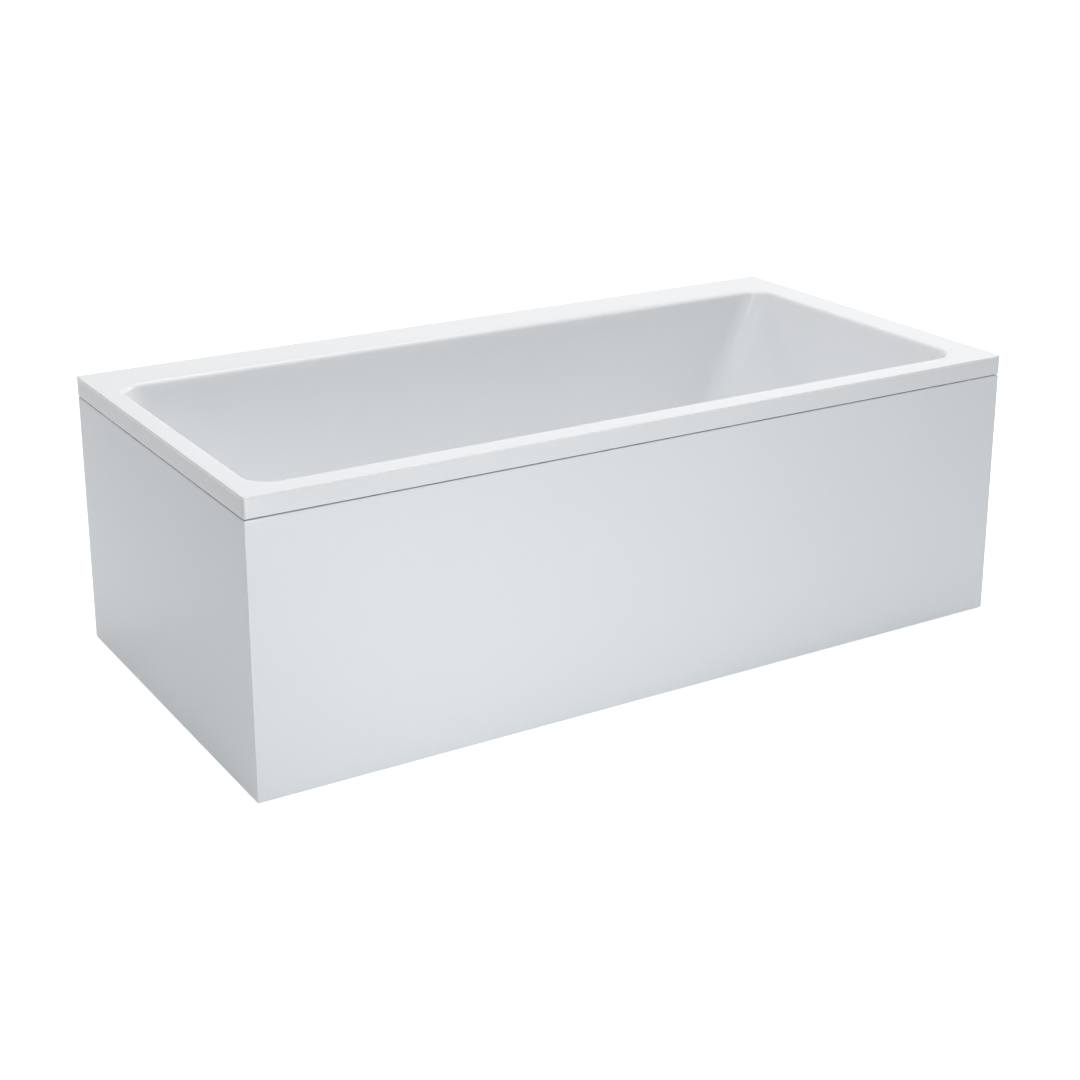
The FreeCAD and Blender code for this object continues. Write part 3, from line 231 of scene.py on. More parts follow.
def revolve(profile, sides, radius_of=None):
    """Points and faces of a profile of (radius, height) rows turned about Z.

    A point is (r cos a, r sin a, z) for the angle a; radius_of(r, a) may bend the radius.
    Both ends of the profile lie on the axis, where the rings close in fans.
    """
    profile = np.asarray(profile, float)
    angle = np.arange(sides) * 2 * np.pi / sides
    ring = profile[1:-1]
    r, a = np.meshgrid(ring[:, 0], angle, indexing="ij")
    if radius_of is not None:
        r = radius_of(r, a)
    z = np.repeat(ring[:, 1:2], sides, 1)
    points = np.stack([r * np.cos(a), r * np.sin(a), z], -1).reshape(-1, 3)
    poles = np.array([[0, 0, profile[0, 1]], [0, 0, profile[-1, 1]]])
    first, last = len(points), len(points) + 1
    quads = grid_quads(len(ring), sides)
    around = np.arange(sides)
    following = (around + 1) % sides
    low = np.stack([np.full(sides, first), following, around], -1)
    top = (len(ring) - 1) * sides
    high = np.stack([np.full(sides, last), top + around, top + following], -1)
    return np.vstack([points, poles]), quads.tolist() + low.tolist() + high.tolist()


def arc(centre, radius, start, end, count):
    """List of points on an arc in the plane of a profile; angles in degrees from the first axis."""
    angle = np.radians(np.linspace(start, end, count))
    x, y = centre[0] + radius * np.cos(angle), centre[1] + radius * np.sin(angle)
    return np.stack([x, y], -1).tolist()


def upright(node):
    """Middle, radius, foot and top of a round node that stands upright."""
    low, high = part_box(node)
    middle = np.array([(low.x + high.x) / 2, (low.y + high.y) / 2, 0.0])
    return middle, (high.x - low.x) / 2, low.z, high.z


# ---------------------------------------------------------------- materials
def add_node(tree, kind, **properties):
    """Adds a node to a tree and sets its properties."""
    node = tree.nodes.new(kind)
    for key, value in properties.items():
        setattr(node, key, value)
    return node


def link(tree, *pairs):
    """Joins pairs of an output socket and an input socket."""
    for output, target in pairs:
        tree.links.new(output, target)


def seen_rays(tree):
    """Output that is 1 for what the camera, a mirror or glass sees, and 0 for other light."""
    rays = add_node(tree, "ShaderNodeLightPath")
    seen = rays.outputs["Is Camera Ray"]
    for name in ("Is Glossy Ray", "Is Transmission Ray"):
        either = add_node(tree, "ShaderNodeMath", operation="MAXIMUM")
        link(tree, (seen, either.inputs[0]), (rays.outputs[name], either.inputs[1]))
        seen = either.outputs[0]
    return seen


class Finish:
    """A material with one Principled shader, and nodes that feed it."""

    def __init__(self, name, **constants):
        self.material = bpy.data.materials.new(name)
        self.material.use_nodes = True
        self.tree = self.material.node_tree
        self.shader = self.tree.nodes["Principled BSDF"]
        for socket, value in constants.items():
            self.set(socket.replace("_", " "), value)

    def set(self, socket, value):
        """Puts a constant on the shader's own socket."""
        sockets = {entry.name.lower(): entry for entry in self.shader.inputs}
        target = sockets[socket.lower()]
        if target.type == "RGBA":
            value = (*value[:3], 1.0)
        target.default_value = value

    def node(self, kind, **properties):
        """Adds a node to the material and sets its properties."""
        return add_node(self.tree, kind, **properties)

    def join(self, output, target):
        """Joins an output socket to an input socket."""
        link(self.tree, (output, target))

    def place(self, stretch=(1.0, 1.0, 1.0)):
        """Object coordinates, stretched along the axes."""
        where = self.node("ShaderNodeTexCoord")
        mapping = self.node("ShaderNodeMapping")
        mapping.inputs["Scale"].default_value = stretch
        self.join(where.outputs["Object"], mapping.inputs["Vector"])
        return mapping.outputs["Vector"]

    def noise(self, where, scale, detail, roughness=0.5, distortion=0.0):
        """Soft noise at a number of cells per metre."""
        node = self.node("ShaderNodeTexNoise")
        node.inputs["Scale"].default_value = scale
        node.inputs["Detail"].default_value = detail
        node.inputs["Roughness"].default_value = roughness
        node.inputs["Distortion"].default_value = distortion
        self.join(where, node.inputs["Vector"])
        return node.outputs["Fac"]

    def flakes(self, where, scale, feature="F1", output="Distance"):
        """Cells at a number per metre."""
        node = self.node("ShaderNodeTexVoronoi", feature=feature)
        node.inputs["Scale"].default_value = scale
        self.join(where, node.inputs["Vector"])
        return node.outputs[output]

    def ramp(self, value, stops):
        """Colours between stops of (place, colour)."""
        node = self.node("ShaderNodeValToRGB")
        elements = node.color_ramp.elements
        while len(elements) < len(stops):
            elements.new(0.5)
        for element, (at, tone) in zip(elements, stops):
            element.position = at
            element.color = (*tone[:3], 1.0)
        self.join(value, node.inputs["Fac"])
        return node.outputs["Color"]

    def between(self, value, low, high):
        """A value from 0 to 1 spread between two limits."""
        node = self.node("ShaderNodeMapRange")
        node.inputs["To Min"].default_value = low
        node.inputs["To Max"].default_value = high
        self.join(value, node.inputs["Value"])
        return node.outputs["Result"]

    def combine(self, first, second, share=0.5):
        """Weighted sum of two greys."""
        node = self.node("ShaderNodeMix", data_type="FLOAT")
        node.inputs[0].default_value = share
        self.join(first, node.inputs[2])
        self.join(second, node.inputs[3])
        return node.outputs[0]

    def bump(self, height, depth, strength, below=None):
        """Relief of a grey, its depth in metres, laid over another relief."""
        node = self.node("ShaderNodeBump")
        node.inputs["Strength"].default_value = strength
        node.inputs["Distance"].default_value = depth
        self.join(height, node.inputs["Height"])
        if below is not None:
            self.join(below, node.inputs["Normal"])
        return node.outputs["Normal"]

    def wear(self, value):
        """Lets a grey set the roughness."""
        self.join(value, self.shader.inputs["Roughness"])

    def tint(self, value):
        """Lets a colour set the base colour."""
        self.join(value, self.shader.inputs["Base Color"])

    def relief(self, value):
        """Lets a bump bend the surface's normal."""
        self.join(value, self.shader.inputs["Normal"])


def shade(colour_value, share):
    """A colour made darker or lighter by a share."""
    return tuple(min(1.0, c * share) for c in colour_value)


def gloss_acrylic(name, base, roughness, waves):
    """Cast acrylic: deep gloss, faint orange peel, slow waves from forming and fine wiping marks."""
    made = Finish(name, base_color=base, roughness=roughness, ior=1.49, coat_weight=0.08,
                  coat_roughness=0.05)
    where = made.place()
    peel = made.noise(where, 160.0, 2.0)
    slow = made.noise(made.place((0.6, 1.0, 1.0)), 2.2, 1.0)
    marks = made.noise(made.place((1.0, 1.0, 3.0)), 38.0, 6.0, 0.65)
    made.wear(made.between(made.combine(marks, slow, 0.3), roughness * 0.6, roughness * 1.5))
    made.tint(made.ramp(slow, [(0.3, shade(base, 0.99)), (0.7, shade(base, 1.008))]))
    made.relief(made.bump(peel, 0.00006, 0.35, made.bump(slow, waves, 0.5)))
    return made.material


def glass_fibre(name, base):
    """Sprayed resin with chopped strands: crossed streaks under a lumpy glaze."""
    made = Finish(name, base_color=base, roughness=0.5, ior=1.5)
    streaks = made.flakes(made.place((1.0, 0.16, 0.5)), 260.0, "DISTANCE_TO_EDGE")
    crossed = made.flakes(made.place((0.14, 1.0, 0.5)), 240.0, "DISTANCE_TO_EDGE")
    strands = made.combine(streaks, crossed)
    lumps = made.noise(made.place(), 26.0, 4.0, 0.6)
    mix = made.combine(made.between(strands, 0.2, 1.6), lumps, 0.55)
    made.tint(made.ramp(mix, [(0.3, shade(base, 0.72)), (0.5, base), (0.75, shade(base, 1.22))]))
    made.wear(made.between(lumps, 0.3, 0.75))
    made.relief(made.bump(strands, 0.0006, 0.5, made.bump(lumps, 0.0018, 0.6)))
    return made.material


def chipboard(name, base):
    """Pressed flakes of several browns."""
    made = Finish(name, base_color=base, roughness=0.75)
    where = made.place((1.0, 0.6, 1.6))
    flake = made.flakes(where, 170.0, output="Color")
    small = made.noise(where, 420.0, 3.0)
    split = made.node("ShaderNodeSeparateColor")
    made.join(flake, split.inputs["Color"])
    mix = made.combine(split.outputs["Red"], small, 0.3)
    made.tint(made.ramp(mix, [(0.15, shade(base, 0.5)), (0.4, shade(base, 0.85)), (0.6, base),
                              (0.9, shade(base, 1.35))]))
    made.wear(made.between(small, 0.6, 0.9))
    made.relief(made.bump(mix, 0.0004, 0.6))
    return made.material


def sawn_wood(name, base):
    """Softwood with growth lines along the batten and a rough saw cut."""
    made = Finish(name, base_color=base, roughness=0.7)
    where = made.place((0.12, 0.12, 1.0))
    rings = made.node("ShaderNodeTexWave", wave_type="BANDS", bands_direction="Z")
    rings.inputs["Scale"].default_value = 60.0
    rings.inputs["Distortion"].default_value = 7.0
    rings.inputs["Detail"].default_value = 3.0
    rings.inputs["Detail Scale"].default_value = 0.6
    made.join(where, rings.inputs["Vector"])
    fibre = made.noise(made.place((0.05, 0.05, 1.0)), 700.0, 3.0)
    mix = made.combine(rings.outputs["Fac"], fibre, 0.35)
    made.tint(made.ramp(mix, [(0.2, shade(base, 0.62)), (0.5, base), (0.8, shade(base, 1.2))]))
    made.relief(made.bump(fibre, 0.0004, 0.5))
    return made.material


def powder_coat(name, base):
    """Baked powder: fine even texture, slightly worn."""
    made = Finish(name, base_color=base, roughness=0.42)
    grain = made.noise(made.place(), 900.0, 2.0)
    cloud = made.noise(made.place(), 9.0, 4.0)
    made.tint(made.ramp(cloud, [(0.3, shade(base, 0.85)), (0.7, shade(base, 1.25))]))
    made.wear(made.between(cloud, 0.34, 0.52))
    made.relief(made.bump(grain, 0.00015, 0.5))
    return made.material


def plated_steel(name, base, cells, roughness, relief=0.00004):
    """Zinc: spangle of dull and bright crystals, with handling marks."""
    made = Finish(name, base_color=base, roughness=roughness, metallic=1.0)
    crystal = made.flakes(made.place(), cells, output="Color")
    split = made.node("ShaderNodeSeparateColor")
    made.join(crystal, split.inputs["Color"])
    cloud = made.noise(made.place(), 30.0, 5.0)
    mix = made.combine(split.outputs["Green"], cloud, 0.5)
    made.tint(made.ramp(mix, [(0.1, shade(base, 0.72)), (0.9, shade(base, 1.2))]))
    made.wear(made.between(mix, roughness * 0.7, roughness * 1.4))
    made.relief(made.bump(cloud, relief, 0.6))
    return made.material


def polished_chrome(name, base):
    """Mirror plating with faint smears and fine polishing lines."""
    made = Finish(name, base_color=base, roughness=0.06, metallic=1.0)
    smear = made.noise(made.place(), 45.0, 5.0, 0.6)
    lines = made.noise(made.place((1.0, 14.0, 1.0)), 500.0, 2.0)
    made.wear(made.between(made.combine(smear, lines, 0.3), 0.03, 0.12))
    made.relief(made.bump(lines, 0.000006, 0.3))
    return made.material


def rubber(name, base, roughness=0.62):
    """Moulded rubber with a fine grain and a dusty bloom."""
    made = Finish(name, base_color=base, roughness=roughness)
    grain = made.noise(made.place(), 1400.0, 2.0)
    bloom = made.noise(made.place(), 35.0, 5.0)
    made.tint(made.ramp(bloom, [(0.35, base), (0.8, shade(base, 1.9))]))
    made.wear(made.between(bloom, roughness * 0.85, roughness * 1.2))
    made.relief(made.bump(grain, 0.0001, 0.5))
    return made.material


def moulded_plastic(name, base):
    """Injection moulding: satin skin, faint flow marks."""
    made = Finish(name, base_color=base, roughness=0.34, ior=1.5)
    flow = made.noise(made.place((0.4, 1.0, 1.0)), 24.0, 4.0, 0.55, 0.6)
    grain = made.noise(made.place(), 1100.0, 2.0)
    made.tint(made.ramp(flow, [(0.3, shade(base, 0.95)), (0.7, shade(base, 1.03))]))
    made.wear(made.between(flow, 0.26, 0.44))
    made.relief(made.bump(grain, 0.00006, 0.4))
    return made.material


def finishes():
    """Every finish of the bathtub by the record's slot name; made once and found again."""
    if "bathtub acrylic" not in bpy.data.materials:
        chosen = bpy.context.scene.bathtub_finishes
        gloss_acrylic("bathtub acrylic", chosen.acrylic, chosen.acrylic_roughness, 0.0006)
        gloss_acrylic("bathtub panel acrylic", chosen.panel, chosen.acrylic_roughness * 1.2, 0.0012)
        glass_fibre("bathtub glass fibre", chosen.fibre)
        chipboard("bathtub chipboard", chosen.chipboard)
        sawn_wood("bathtub batten", chosen.batten)
        powder_coat("bathtub powder coat", chosen.frame_coat)
        plated_steel("bathtub zinc plate", chosen.steel, 900.0, 0.32)
        plated_steel("bathtub galvanised strip", chosen.steel, 160.0, 0.4)
        plated_steel("bathtub stainless", shade(chosen.steel, 1.15), 1800.0, 0.2, 0.00001)
        polished_chrome("bathtub chrome", chosen.chrome)
        rubber("bathtub seal", chosen.rubber)
        rubber("bathtub foot pad", shade(chosen.rubber, 1.4), 0.5)
        rubber("bathtub cable sheath", shade(chosen.rubber, 1.2), 0.4)
        moulded_plastic("bathtub moulded plastic", chosen.moulded)
    return {slot: bpy.data.materials["bathtub " + name] for slot, name in {
        "shell": "acrylic",
        "panel": "panel acrylic",
        "resin": "glass fibre",
        "board": "chipboard",
        "batten": "batten",
        "frame_steel": "powder coat",
        "zinc": "zinc plate",
        "clip_steel": "galvanised strip",
        "screw_steel": "stainless",
        "chrome": "chrome",
        "seal": "seal",
        "pad": "foot pad",
        "cable": "cable sheath",
        "trap_plastic": "moulded plastic",
    }.items()}


# ---------------------------------------------------------------- shell surface
CORNER_CELLS = 18   # cells of a quarter turn, the same on every ring
WALL_CELLS = 25     # cells from the hollow up to the mouth's edge
MOUTH_CELLS = 8     # cells of the rounded mouth edge
HOLLOW_CELLS = 14   # cells of the hollow between walls and floor
HOLE_EDGE = 0.0006  # chamfer of the drain hole, and half width of the dish's outer fold
LIP_BACK_ROWS = 6   # last rows of the lip, which lie behind it
FLOOR_ROWS = (0.04, 0.12, 0.28, 0.5, 0.75)  # places of the floor's rows, from drain to hollow
RIM_ROWS = (0.1, 0.5, 0.9)                  # places of the rim's rows, from mouth to lip


def perimeter(x0, x1, y0, y1, radius, along=96, across=44):
    """Points round a rounded rectangle, and their inward directions.

    Each side is an even run between its corners and each corner a quarter circle,
    with the same count on every ring, so that ring after ring joins up in quads.
    Sizes may be numbers or arrays of rings; along and across count the cells of the sides.
    """
    x0, x1, y0, y1, radius = (np.atleast_1d(np.asarray(v, float))[:, None]
                              for v in (x0, x1, y0, y1, radius))
    corners = [
        (x1 - radius, y0 + radius, -90, across),
        (x1 - radius, y1 - radius, 0, along),
        (x0 + radius, y1 - radius, 90, across),
        (x0 + radius, y0 + radius, 180, along),
    ]
    xs, ys, nx, ny = [], [], [], []
    for number, (cx, cy, start, cells) in enumerate(corners):
        angle = np.radians(start + 90.0 * np.arange(CORNER_CELLS) / CORNER_CELLS)[None]
        xs.append(cx + radius * np.cos(angle))
        ys.append(cy + radius * np.sin(angle))
        nx.append(np.broadcast_to(-np.cos(angle), xs[-1].shape))
        ny.append(np.broadcast_to(-np.sin(angle), xs[-1].shape))
        after = math.radians(start + 90.0)
        next_x, next_y = corners[(number + 1) % 4][:2]
        share = (np.arange(cells) / cells)[None]
        begin_x, begin_y = cx + radius * math.cos(after), cy + radius * math.sin(after)
        end_x, end_y = next_x + radius * math.cos(after), next_y + radius * math.sin(after)
        xs.append(begin_x + (end_x - begin_x) * share)
        ys.append(begin_y + (end_y - begin_y) * share)
        nx.append(np.full(xs[-1].shape, -math.cos(after)))
        ny.append(np.full(xs[-1].shape, -math.sin(after)))
    return (np.concatenate(xs, 1), np.concatenate(ys, 1),
            np.concatenate(nx, 1), np.concatenate(ny, 1))


def basin_middle(sizes):
    """Middle of the basin from front to back, between the two side rims."""
    return (SHELL_LOW.y + sizes.rim_front + SHELL_HIGH.y - sizes.rim_back) / 2


class BasinForm:
    """The basin and rim as rings of points, on the face (offset 0) or under it (offset = sheet)."""

    def __init__(self, sizes, offset):
        self.s = sizes
        self.offset = offset
        self.top = SHELL_HIGH.z
        self.drain = (SHELL_LOW.x + sizes.drain_inset, basin_middle(sizes))

    def floor_z(self, x):
        """Height of the floor's face or underside."""
        s = self.s
        return s.floor_height + s.floor_fall * (x - self.drain[0]) - self.offset

    def section(self, z):
        """Level rings of the walls: each side leans inwards with depth, the corner radius grows."""
        s, o = self.s, self.offset
        depth = self.top - np.asarray(z, float)
        x0 = (SHELL_LOW.x + s.rim_drain_end + depth * math.tan(s.drain_end_slope)
              - o / math.cos(s.drain_end_slope))
        x1 = (SHELL_HIGH.x - s.rim_backrest_end - depth * math.tan(s.backrest_slope)
              + o / math.cos(s.backrest_slope))
        y0 = (SHELL_LOW.y + s.rim_front + depth * math.tan(s.side_slope)
              - o / math.cos(s.side_slope))
        y1 = (SHELL_HIGH.y - s.rim_back - depth * math.tan(s.side_slope)
              + o / math.cos(s.side_slope))
        share = depth / (self.top - s.floor_height)
        radius = s.mouth_corner + (s.floor_corner - s.mouth_corner) * share + o
        return perimeter(x0, x1, y0, y1, radius)

    def walls(self):
        """Two rings that rule the walls: at the rim and at a level under the floor."""
        low = self.s.floor_height - 2 * self.s.sheet
        x, y, nx, ny = self.section([self.top, low])
        z = np.array([[self.top], [low]]) + np.zeros_like(x)
        rings = np.stack([x, y, z], -1)
        return rings[0], rings[1], np.stack([nx[0], ny[0]], -1)

    def fillet(self, corner, along_a, along_b, radius, count, reach=0.0):
        """Rings of an arc tangent to two directions that leave a corner line.

        A reach makes the radius grow with the angle between the directions, so that the
        arc starts equally far from the corner line all round.
        """
        unit_a = along_a / np.linalg.norm(along_a, axis=-1, keepdims=True)
        unit_b = along_b / np.linalg.norm(along_b, axis=-1, keepdims=True)
        half = np.arccos(np.clip((unit_a * unit_b).sum(-1, keepdims=True), -1, 1)) / 2
        radius = radius + reach * np.tan(half)
        middle = unit_a + unit_b
        middle /= np.linalg.norm(middle, axis=-1, keepdims=True)
        centre = corner + middle * radius / np.sin(half)
        from_a = (corner + unit_a * radius / np.tan(half) - centre) / radius
        from_b = (corner + unit_b * radius / np.tan(half) - centre) / radius
        turn = np.arccos(np.clip((from_a * from_b).sum(-1, keepdims=True), -1, 1))
        share = np.linspace(0, 1, count)[:, None, None]
        direction = (np.sin((1 - share) * turn) * from_a + np.sin(share * turn) * from_b) / np.sin(turn)
        return centre + radius * direction

    def rings(self):
        """Rings from the drain's edge outwards: dish, floor, fillet, walls, rim edge and rim."""
        s, o = self.s, self.offset
        upper, lower, inward = self.walls()
        run = lower - upper
        flat = np.concatenate([inward, s.floor_fall * inward[:, :1]], -1)

        rim_z = self.top - o
        share = (rim_z - upper[:, 2:]) / run[:, 2:]
        rim_line = upper + run * share
        outward = np.concatenate([-inward, np.zeros((len(inward), 1))], -1)
        mouth = self.fillet(rim_line, run, outward, s.mouth_edge - o, MOUTH_CELLS + 1)

        slope_z = s.floor_fall * run[:, :1] - run[:, 2:]
        share = (upper[:, 2:] - self.floor_z(upper[:, :1])) / slope_z
        floor_line = upper + run * share
        hollow = self.fillet(floor_line, -run, flat, o, HOLLOW_CELLS + 1, reach=s.floor_edge)[::-1]

        share = np.linspace(0, 1, WALL_CELLS + 1)[1:-1, None, None]
        walls = hollow[-1] + (mouth[0] - hollow[-1]) * share

        floor_edge = hollow[0]
        spoke = floor_edge[:, :2] - np.array(self.drain)
        reach = np.linalg.norm(spoke, axis=-1, keepdims=True)
        unit = spoke / reach

        def ring_at(radius, z=None):
            """Ring round the drain at a radius and a height, or else on the floor."""
            place = np.array(self.drain) + unit * radius
            height = self.floor_z(place[:, :1]) if z is None else np.full((len(unit), 1), z)
            return np.concatenate([place, height], -1)[None]

        dish_z = s.floor_height - s.dish_depth - o
        if o == 0:
            flank_foot, flank_start, foot_rise, fold_drop = 0.0045, 0.0032, 0.0004, 0.0008
            start = s.dish + HOLE_EDGE
            inner = [ring_at(s.drain_hole, dish_z - HOLE_EDGE),
                     ring_at(s.drain_hole + HOLE_EDGE, dish_z),
                     ring_at(s.dish - flank_foot, dish_z),
                     ring_at(s.dish - flank_start, dish_z + foot_rise),
                     ring_at(s.dish - HOLE_EDGE, s.floor_height - fold_drop), ring_at(start)]
        else:
            boss_wall, boss_edge = 0.009, 0.001
            start = s.dish + boss_wall
            inner = [ring_at(s.drain_hole, dish_z), ring_at(start - boss_edge, dish_z),
                     ring_at(start, dish_z + boss_edge), ring_at(start)]
        share = np.array(FLOOR_ROWS)[:, None, None]
        radius = start + (reach - start) * share
        place = np.array(self.drain) + unit * radius
        spread = np.concatenate([place, self.floor_z(place[..., :1])], -1)
        return np.concatenate(inner + [spread, hollow, walls, mouth])


def lip_rings(sizes):
    """Rings from the rim's outer edge down the lip, round its foot and up behind it.

    The rolled edge is an arc of a quarter turn; below it the face draws back by half a
    cosine wave, so that a fine line of shade follows the rim. A short flat beside an arc
    keeps its shading from spreading over the wide faces.
    """
    s = sizes
    top, foot = SHELL_HIGH.z, SHELL_HIGH.z - s.lip
    flat, straight, foot_edge, inner_edge = 0.002, 0.0003, 0.001, 0.002
    path = [(s.rim_edge + flat, top)]
    path += arc((s.rim_edge, top - s.rim_edge), s.rim_edge, 90, 180, 7)
    drawn = np.linspace(0, 1, 7)[1:]
    path += np.stack([s.lip_recess * (1 - np.cos(np.pi * drawn)) / 2,
                      top - s.rim_edge - straight - (s.rim_bead - s.rim_edge) * drawn], -1).tolist()
    path += [(s.lip_recess, top - s.rim_bead - flat), (s.lip_recess, foot + foot_edge + flat)]
    path += arc((s.lip_recess + foot_edge, foot + foot_edge), foot_edge, 180, 270, 4)
    path += arc((s.sheet - foot_edge, foot + foot_edge), foot_edge, -90, 0, 4)
    path += [(s.sheet, foot + foot_edge + flat), (s.sheet, top - s.sheet - inner_edge - flat / 2)]
    path += arc((s.sheet + inner_edge, top - s.sheet - inner_edge), inner_edge, 180, 90, 4)
    inset, z = np.array(path).T
    least_corner = 0.001
    radius = np.maximum(s.lip_corner - inset, least_corner)
    x, y, _, _ = perimeter(SHELL_LOW.x + inset, SHELL_HIGH.x - inset,
                           SHELL_LOW.y + inset, SHELL_HIGH.y - inset, radius)
    return np.stack([x, y, z[:, None] + np.zeros_like(x)], -1)


def overflow_matrix(sizes):
    """Axes of the overflow as rows: down the slope, across, out of the wall; and its middle."""
    lean = sizes.drain_end_slope
    middle = np.array([SHELL_LOW.x + sizes.rim_drain_end + sizes.overflow_drop * math.tan(lean),
                       basin_middle(sizes), SHELL_HIGH.z - sizes.overflow_drop])
    axes = np.array([[math.sin(lean), 0, -math.cos(lean)], [0, 1, 0],
                     [math.cos(lean), 0, math.sin(lean)]])
    return axes, middle


def apply_modifiers(piece):
    """Replaces a piece's mesh by its modified form and drops the modifiers."""
    evaluated = piece.evaluated_get(bpy.context.evaluated_depsgraph_get())
    mesh = bpy.data.meshes.new_from_object(evaluated)
    piece.modifiers.clear()
    piece.data = mesh


class BATHTUB_OT_shell(bpy.types.Operator):
    """Builds the formed shell with rim, lip, basin and drain dish"""

    bl_idname = "bathtub.shell"
    bl_label = "Shell"

    def execute(self, context):
        sizes = context.scene.bathtub_shell
        made = finishes()
        face = BasinForm(sizes, 0.0).rings()
        lip = lip_rings(sizes)
        under = BasinForm(sizes, sizes.sheet).rings()[::-1]
        across = np.array(RIM_ROWS)[:, None, None]
        rim = face[-1] + (lip[0] - face[-1]) * across
        under_rim = lip[-1] + (under[0] - lip[-1]) * across
        rings = np.concatenate([face, rim, lip, under_rim, under])
        rows, columns = rings.shape[:2]
        mesh = make_mesh("bath_shell", rings.reshape(-1, 3),
                         grid_quads(rows, columns, close_rows=True))
        shell = make_piece("bath_shell", mesh, "base",
                           [made["shell"], made["resin"]], ["tub_shell"])
        self.paint(mesh, rows, columns, len(face) + len(rim) + len(lip) - LIP_BACK_ROWS)
        self.cut_overflow(context, shell, sizes)
        return {"FINISHED"}

    def paint(self, mesh, rows, columns, hidden):
        """Resin on the rows from the first hidden one on, but gloss on the drain hole's wall."""
        row_of = np.repeat(np.arange(rows), columns)
        index = np.where((row_of >= hidden) & (row_of < rows - 1), 1, 0).astype(np.int32)
        if len(mesh.polygons) != len(index):
            raise RuntimeError("the shell's grid has %d faces instead of %d"
                               % (len(mesh.polygons), len(index)))
        mesh.polygons.foreach_set("material_index", index)

    def cut_overflow(self, context, shell, sizes):
        """Cuts the round overflow hole square through the wall."""
        axes, middle = overflow_matrix(sizes)
        radius, through = sizes.overflow_hole, 0.02
        points, faces = revolve([(0, -through), (radius, -through), (radius, through),
                                 (0, through)], sides=64)
        mesh = make_mesh("overflow_cut", points @ axes + middle, faces)
        cutter = bpy.data.objects.new("overflow_cut", mesh)
        context.scene.collection.objects.link(cutter)
        cut = shell.modifiers.new("Overflow hole", "BOOLEAN")
        cut.operation, cut.solver, cut.object = "DIFFERENCE", "EXACT", cutter
        apply_modifiers(shell)
        bpy.data.objects.remove(cutter)
        shell.data.set_sharp_from_angle(angle=SHARP_FOLD)


# ---------------------------------------------------------------- panels
def tray_mesh(name, long_run, depth, height, sizes, mitre_at, place):
    """Formed tray as rings round its face, sawn off by an upright plane at the mitre.

    Along the length s, into the tray d and up z, each ring is a rounded rectangle at one
    depth and inset: the back edge, the return, the fold, the face, and the same inside.
    The plane goes through the corner and halves the right angle between the panels.
    """
    s0, s1 = long_run
    z0, z1 = height
    edge, sheet = sizes.edge, sizes.sheet
    nick, flat, inside = 0.0005, 0.002, 0.001
    path = [(sheet - nick, depth), (nick, depth), (0.0, depth - nick), (0.0, edge + flat)]
    path += arc((edge, edge), edge, 180, 270, 7)
    path += [(edge + 2 * flat, 0.0)]
    faces_at = len(path)
    path += [(sheet + 3 * flat, sheet)]
    path += arc((sheet + inside, sheet + inside), inside, 270, 180, 4)
    path += [(sheet, sheet + inside + flat), (sheet, depth - nick)]
    inset, into = np.array(path).T
    corner_radius, least_corner = 0.0035, 0.0006
    radius = np.maximum(corner_radius - inset, least_corner)
    s, z, _, _ = perimeter(s0 + inset, s1 - inset, z0 + inset, z1 - inset, radius,
                           along=40, across=10)
    d = into[:, None] + np.zeros_like(s)
    rows, columns = s.shape
    points = place(s, d, z).reshape(-1, 3)
    outer = grid_quads(faces_at, columns).tolist()
    inner = (grid_quads(rows - faces_at, columns) + faces_at * columns).tolist()
    last = grid_quads(2, columns)
    ring = np.arange(columns)
    closing = np.where(last < columns, (rows - 1) * columns + ring[last % columns],
                       ring[last % columns]).tolist()
    front = ((faces_at - 1) * columns + ring).tolist()
    back = (faces_at * columns + ring)[::-1].tolist()
    mesh = make_mesh(name, points, outer + inner + closing + [front, back])

    shape = bmesh.new()
    shape.from_mesh(mesh)
    bmesh.ops.recalc_face_normals(shape, faces=shape.faces)
    corner = place(np.array(mitre_at), np.array(0.0), np.array(z0))
    ahead = place(np.array(mitre_at - math.copysign(1.0, mitre_at)), np.array(-1.0), np.array(z0))
    everything = list(shape.verts) + list(shape.edges) + list(shape.faces)
    bmesh.ops.bisect_plane(shape, geom=everything, dist=1e-6, plane_co=corner.tolist(),
                           plane_no=(corner - ahead).tolist(), clear_outer=True)
    bmesh.ops.contextual_create(shape, geom=[e for e in shape.edges if e.is_boundary])
    shape.to_mesh(mesh)
    shape.free()
    mesh.set_sharp_from_angle(angle=SHARP_FOLD)
    return mesh


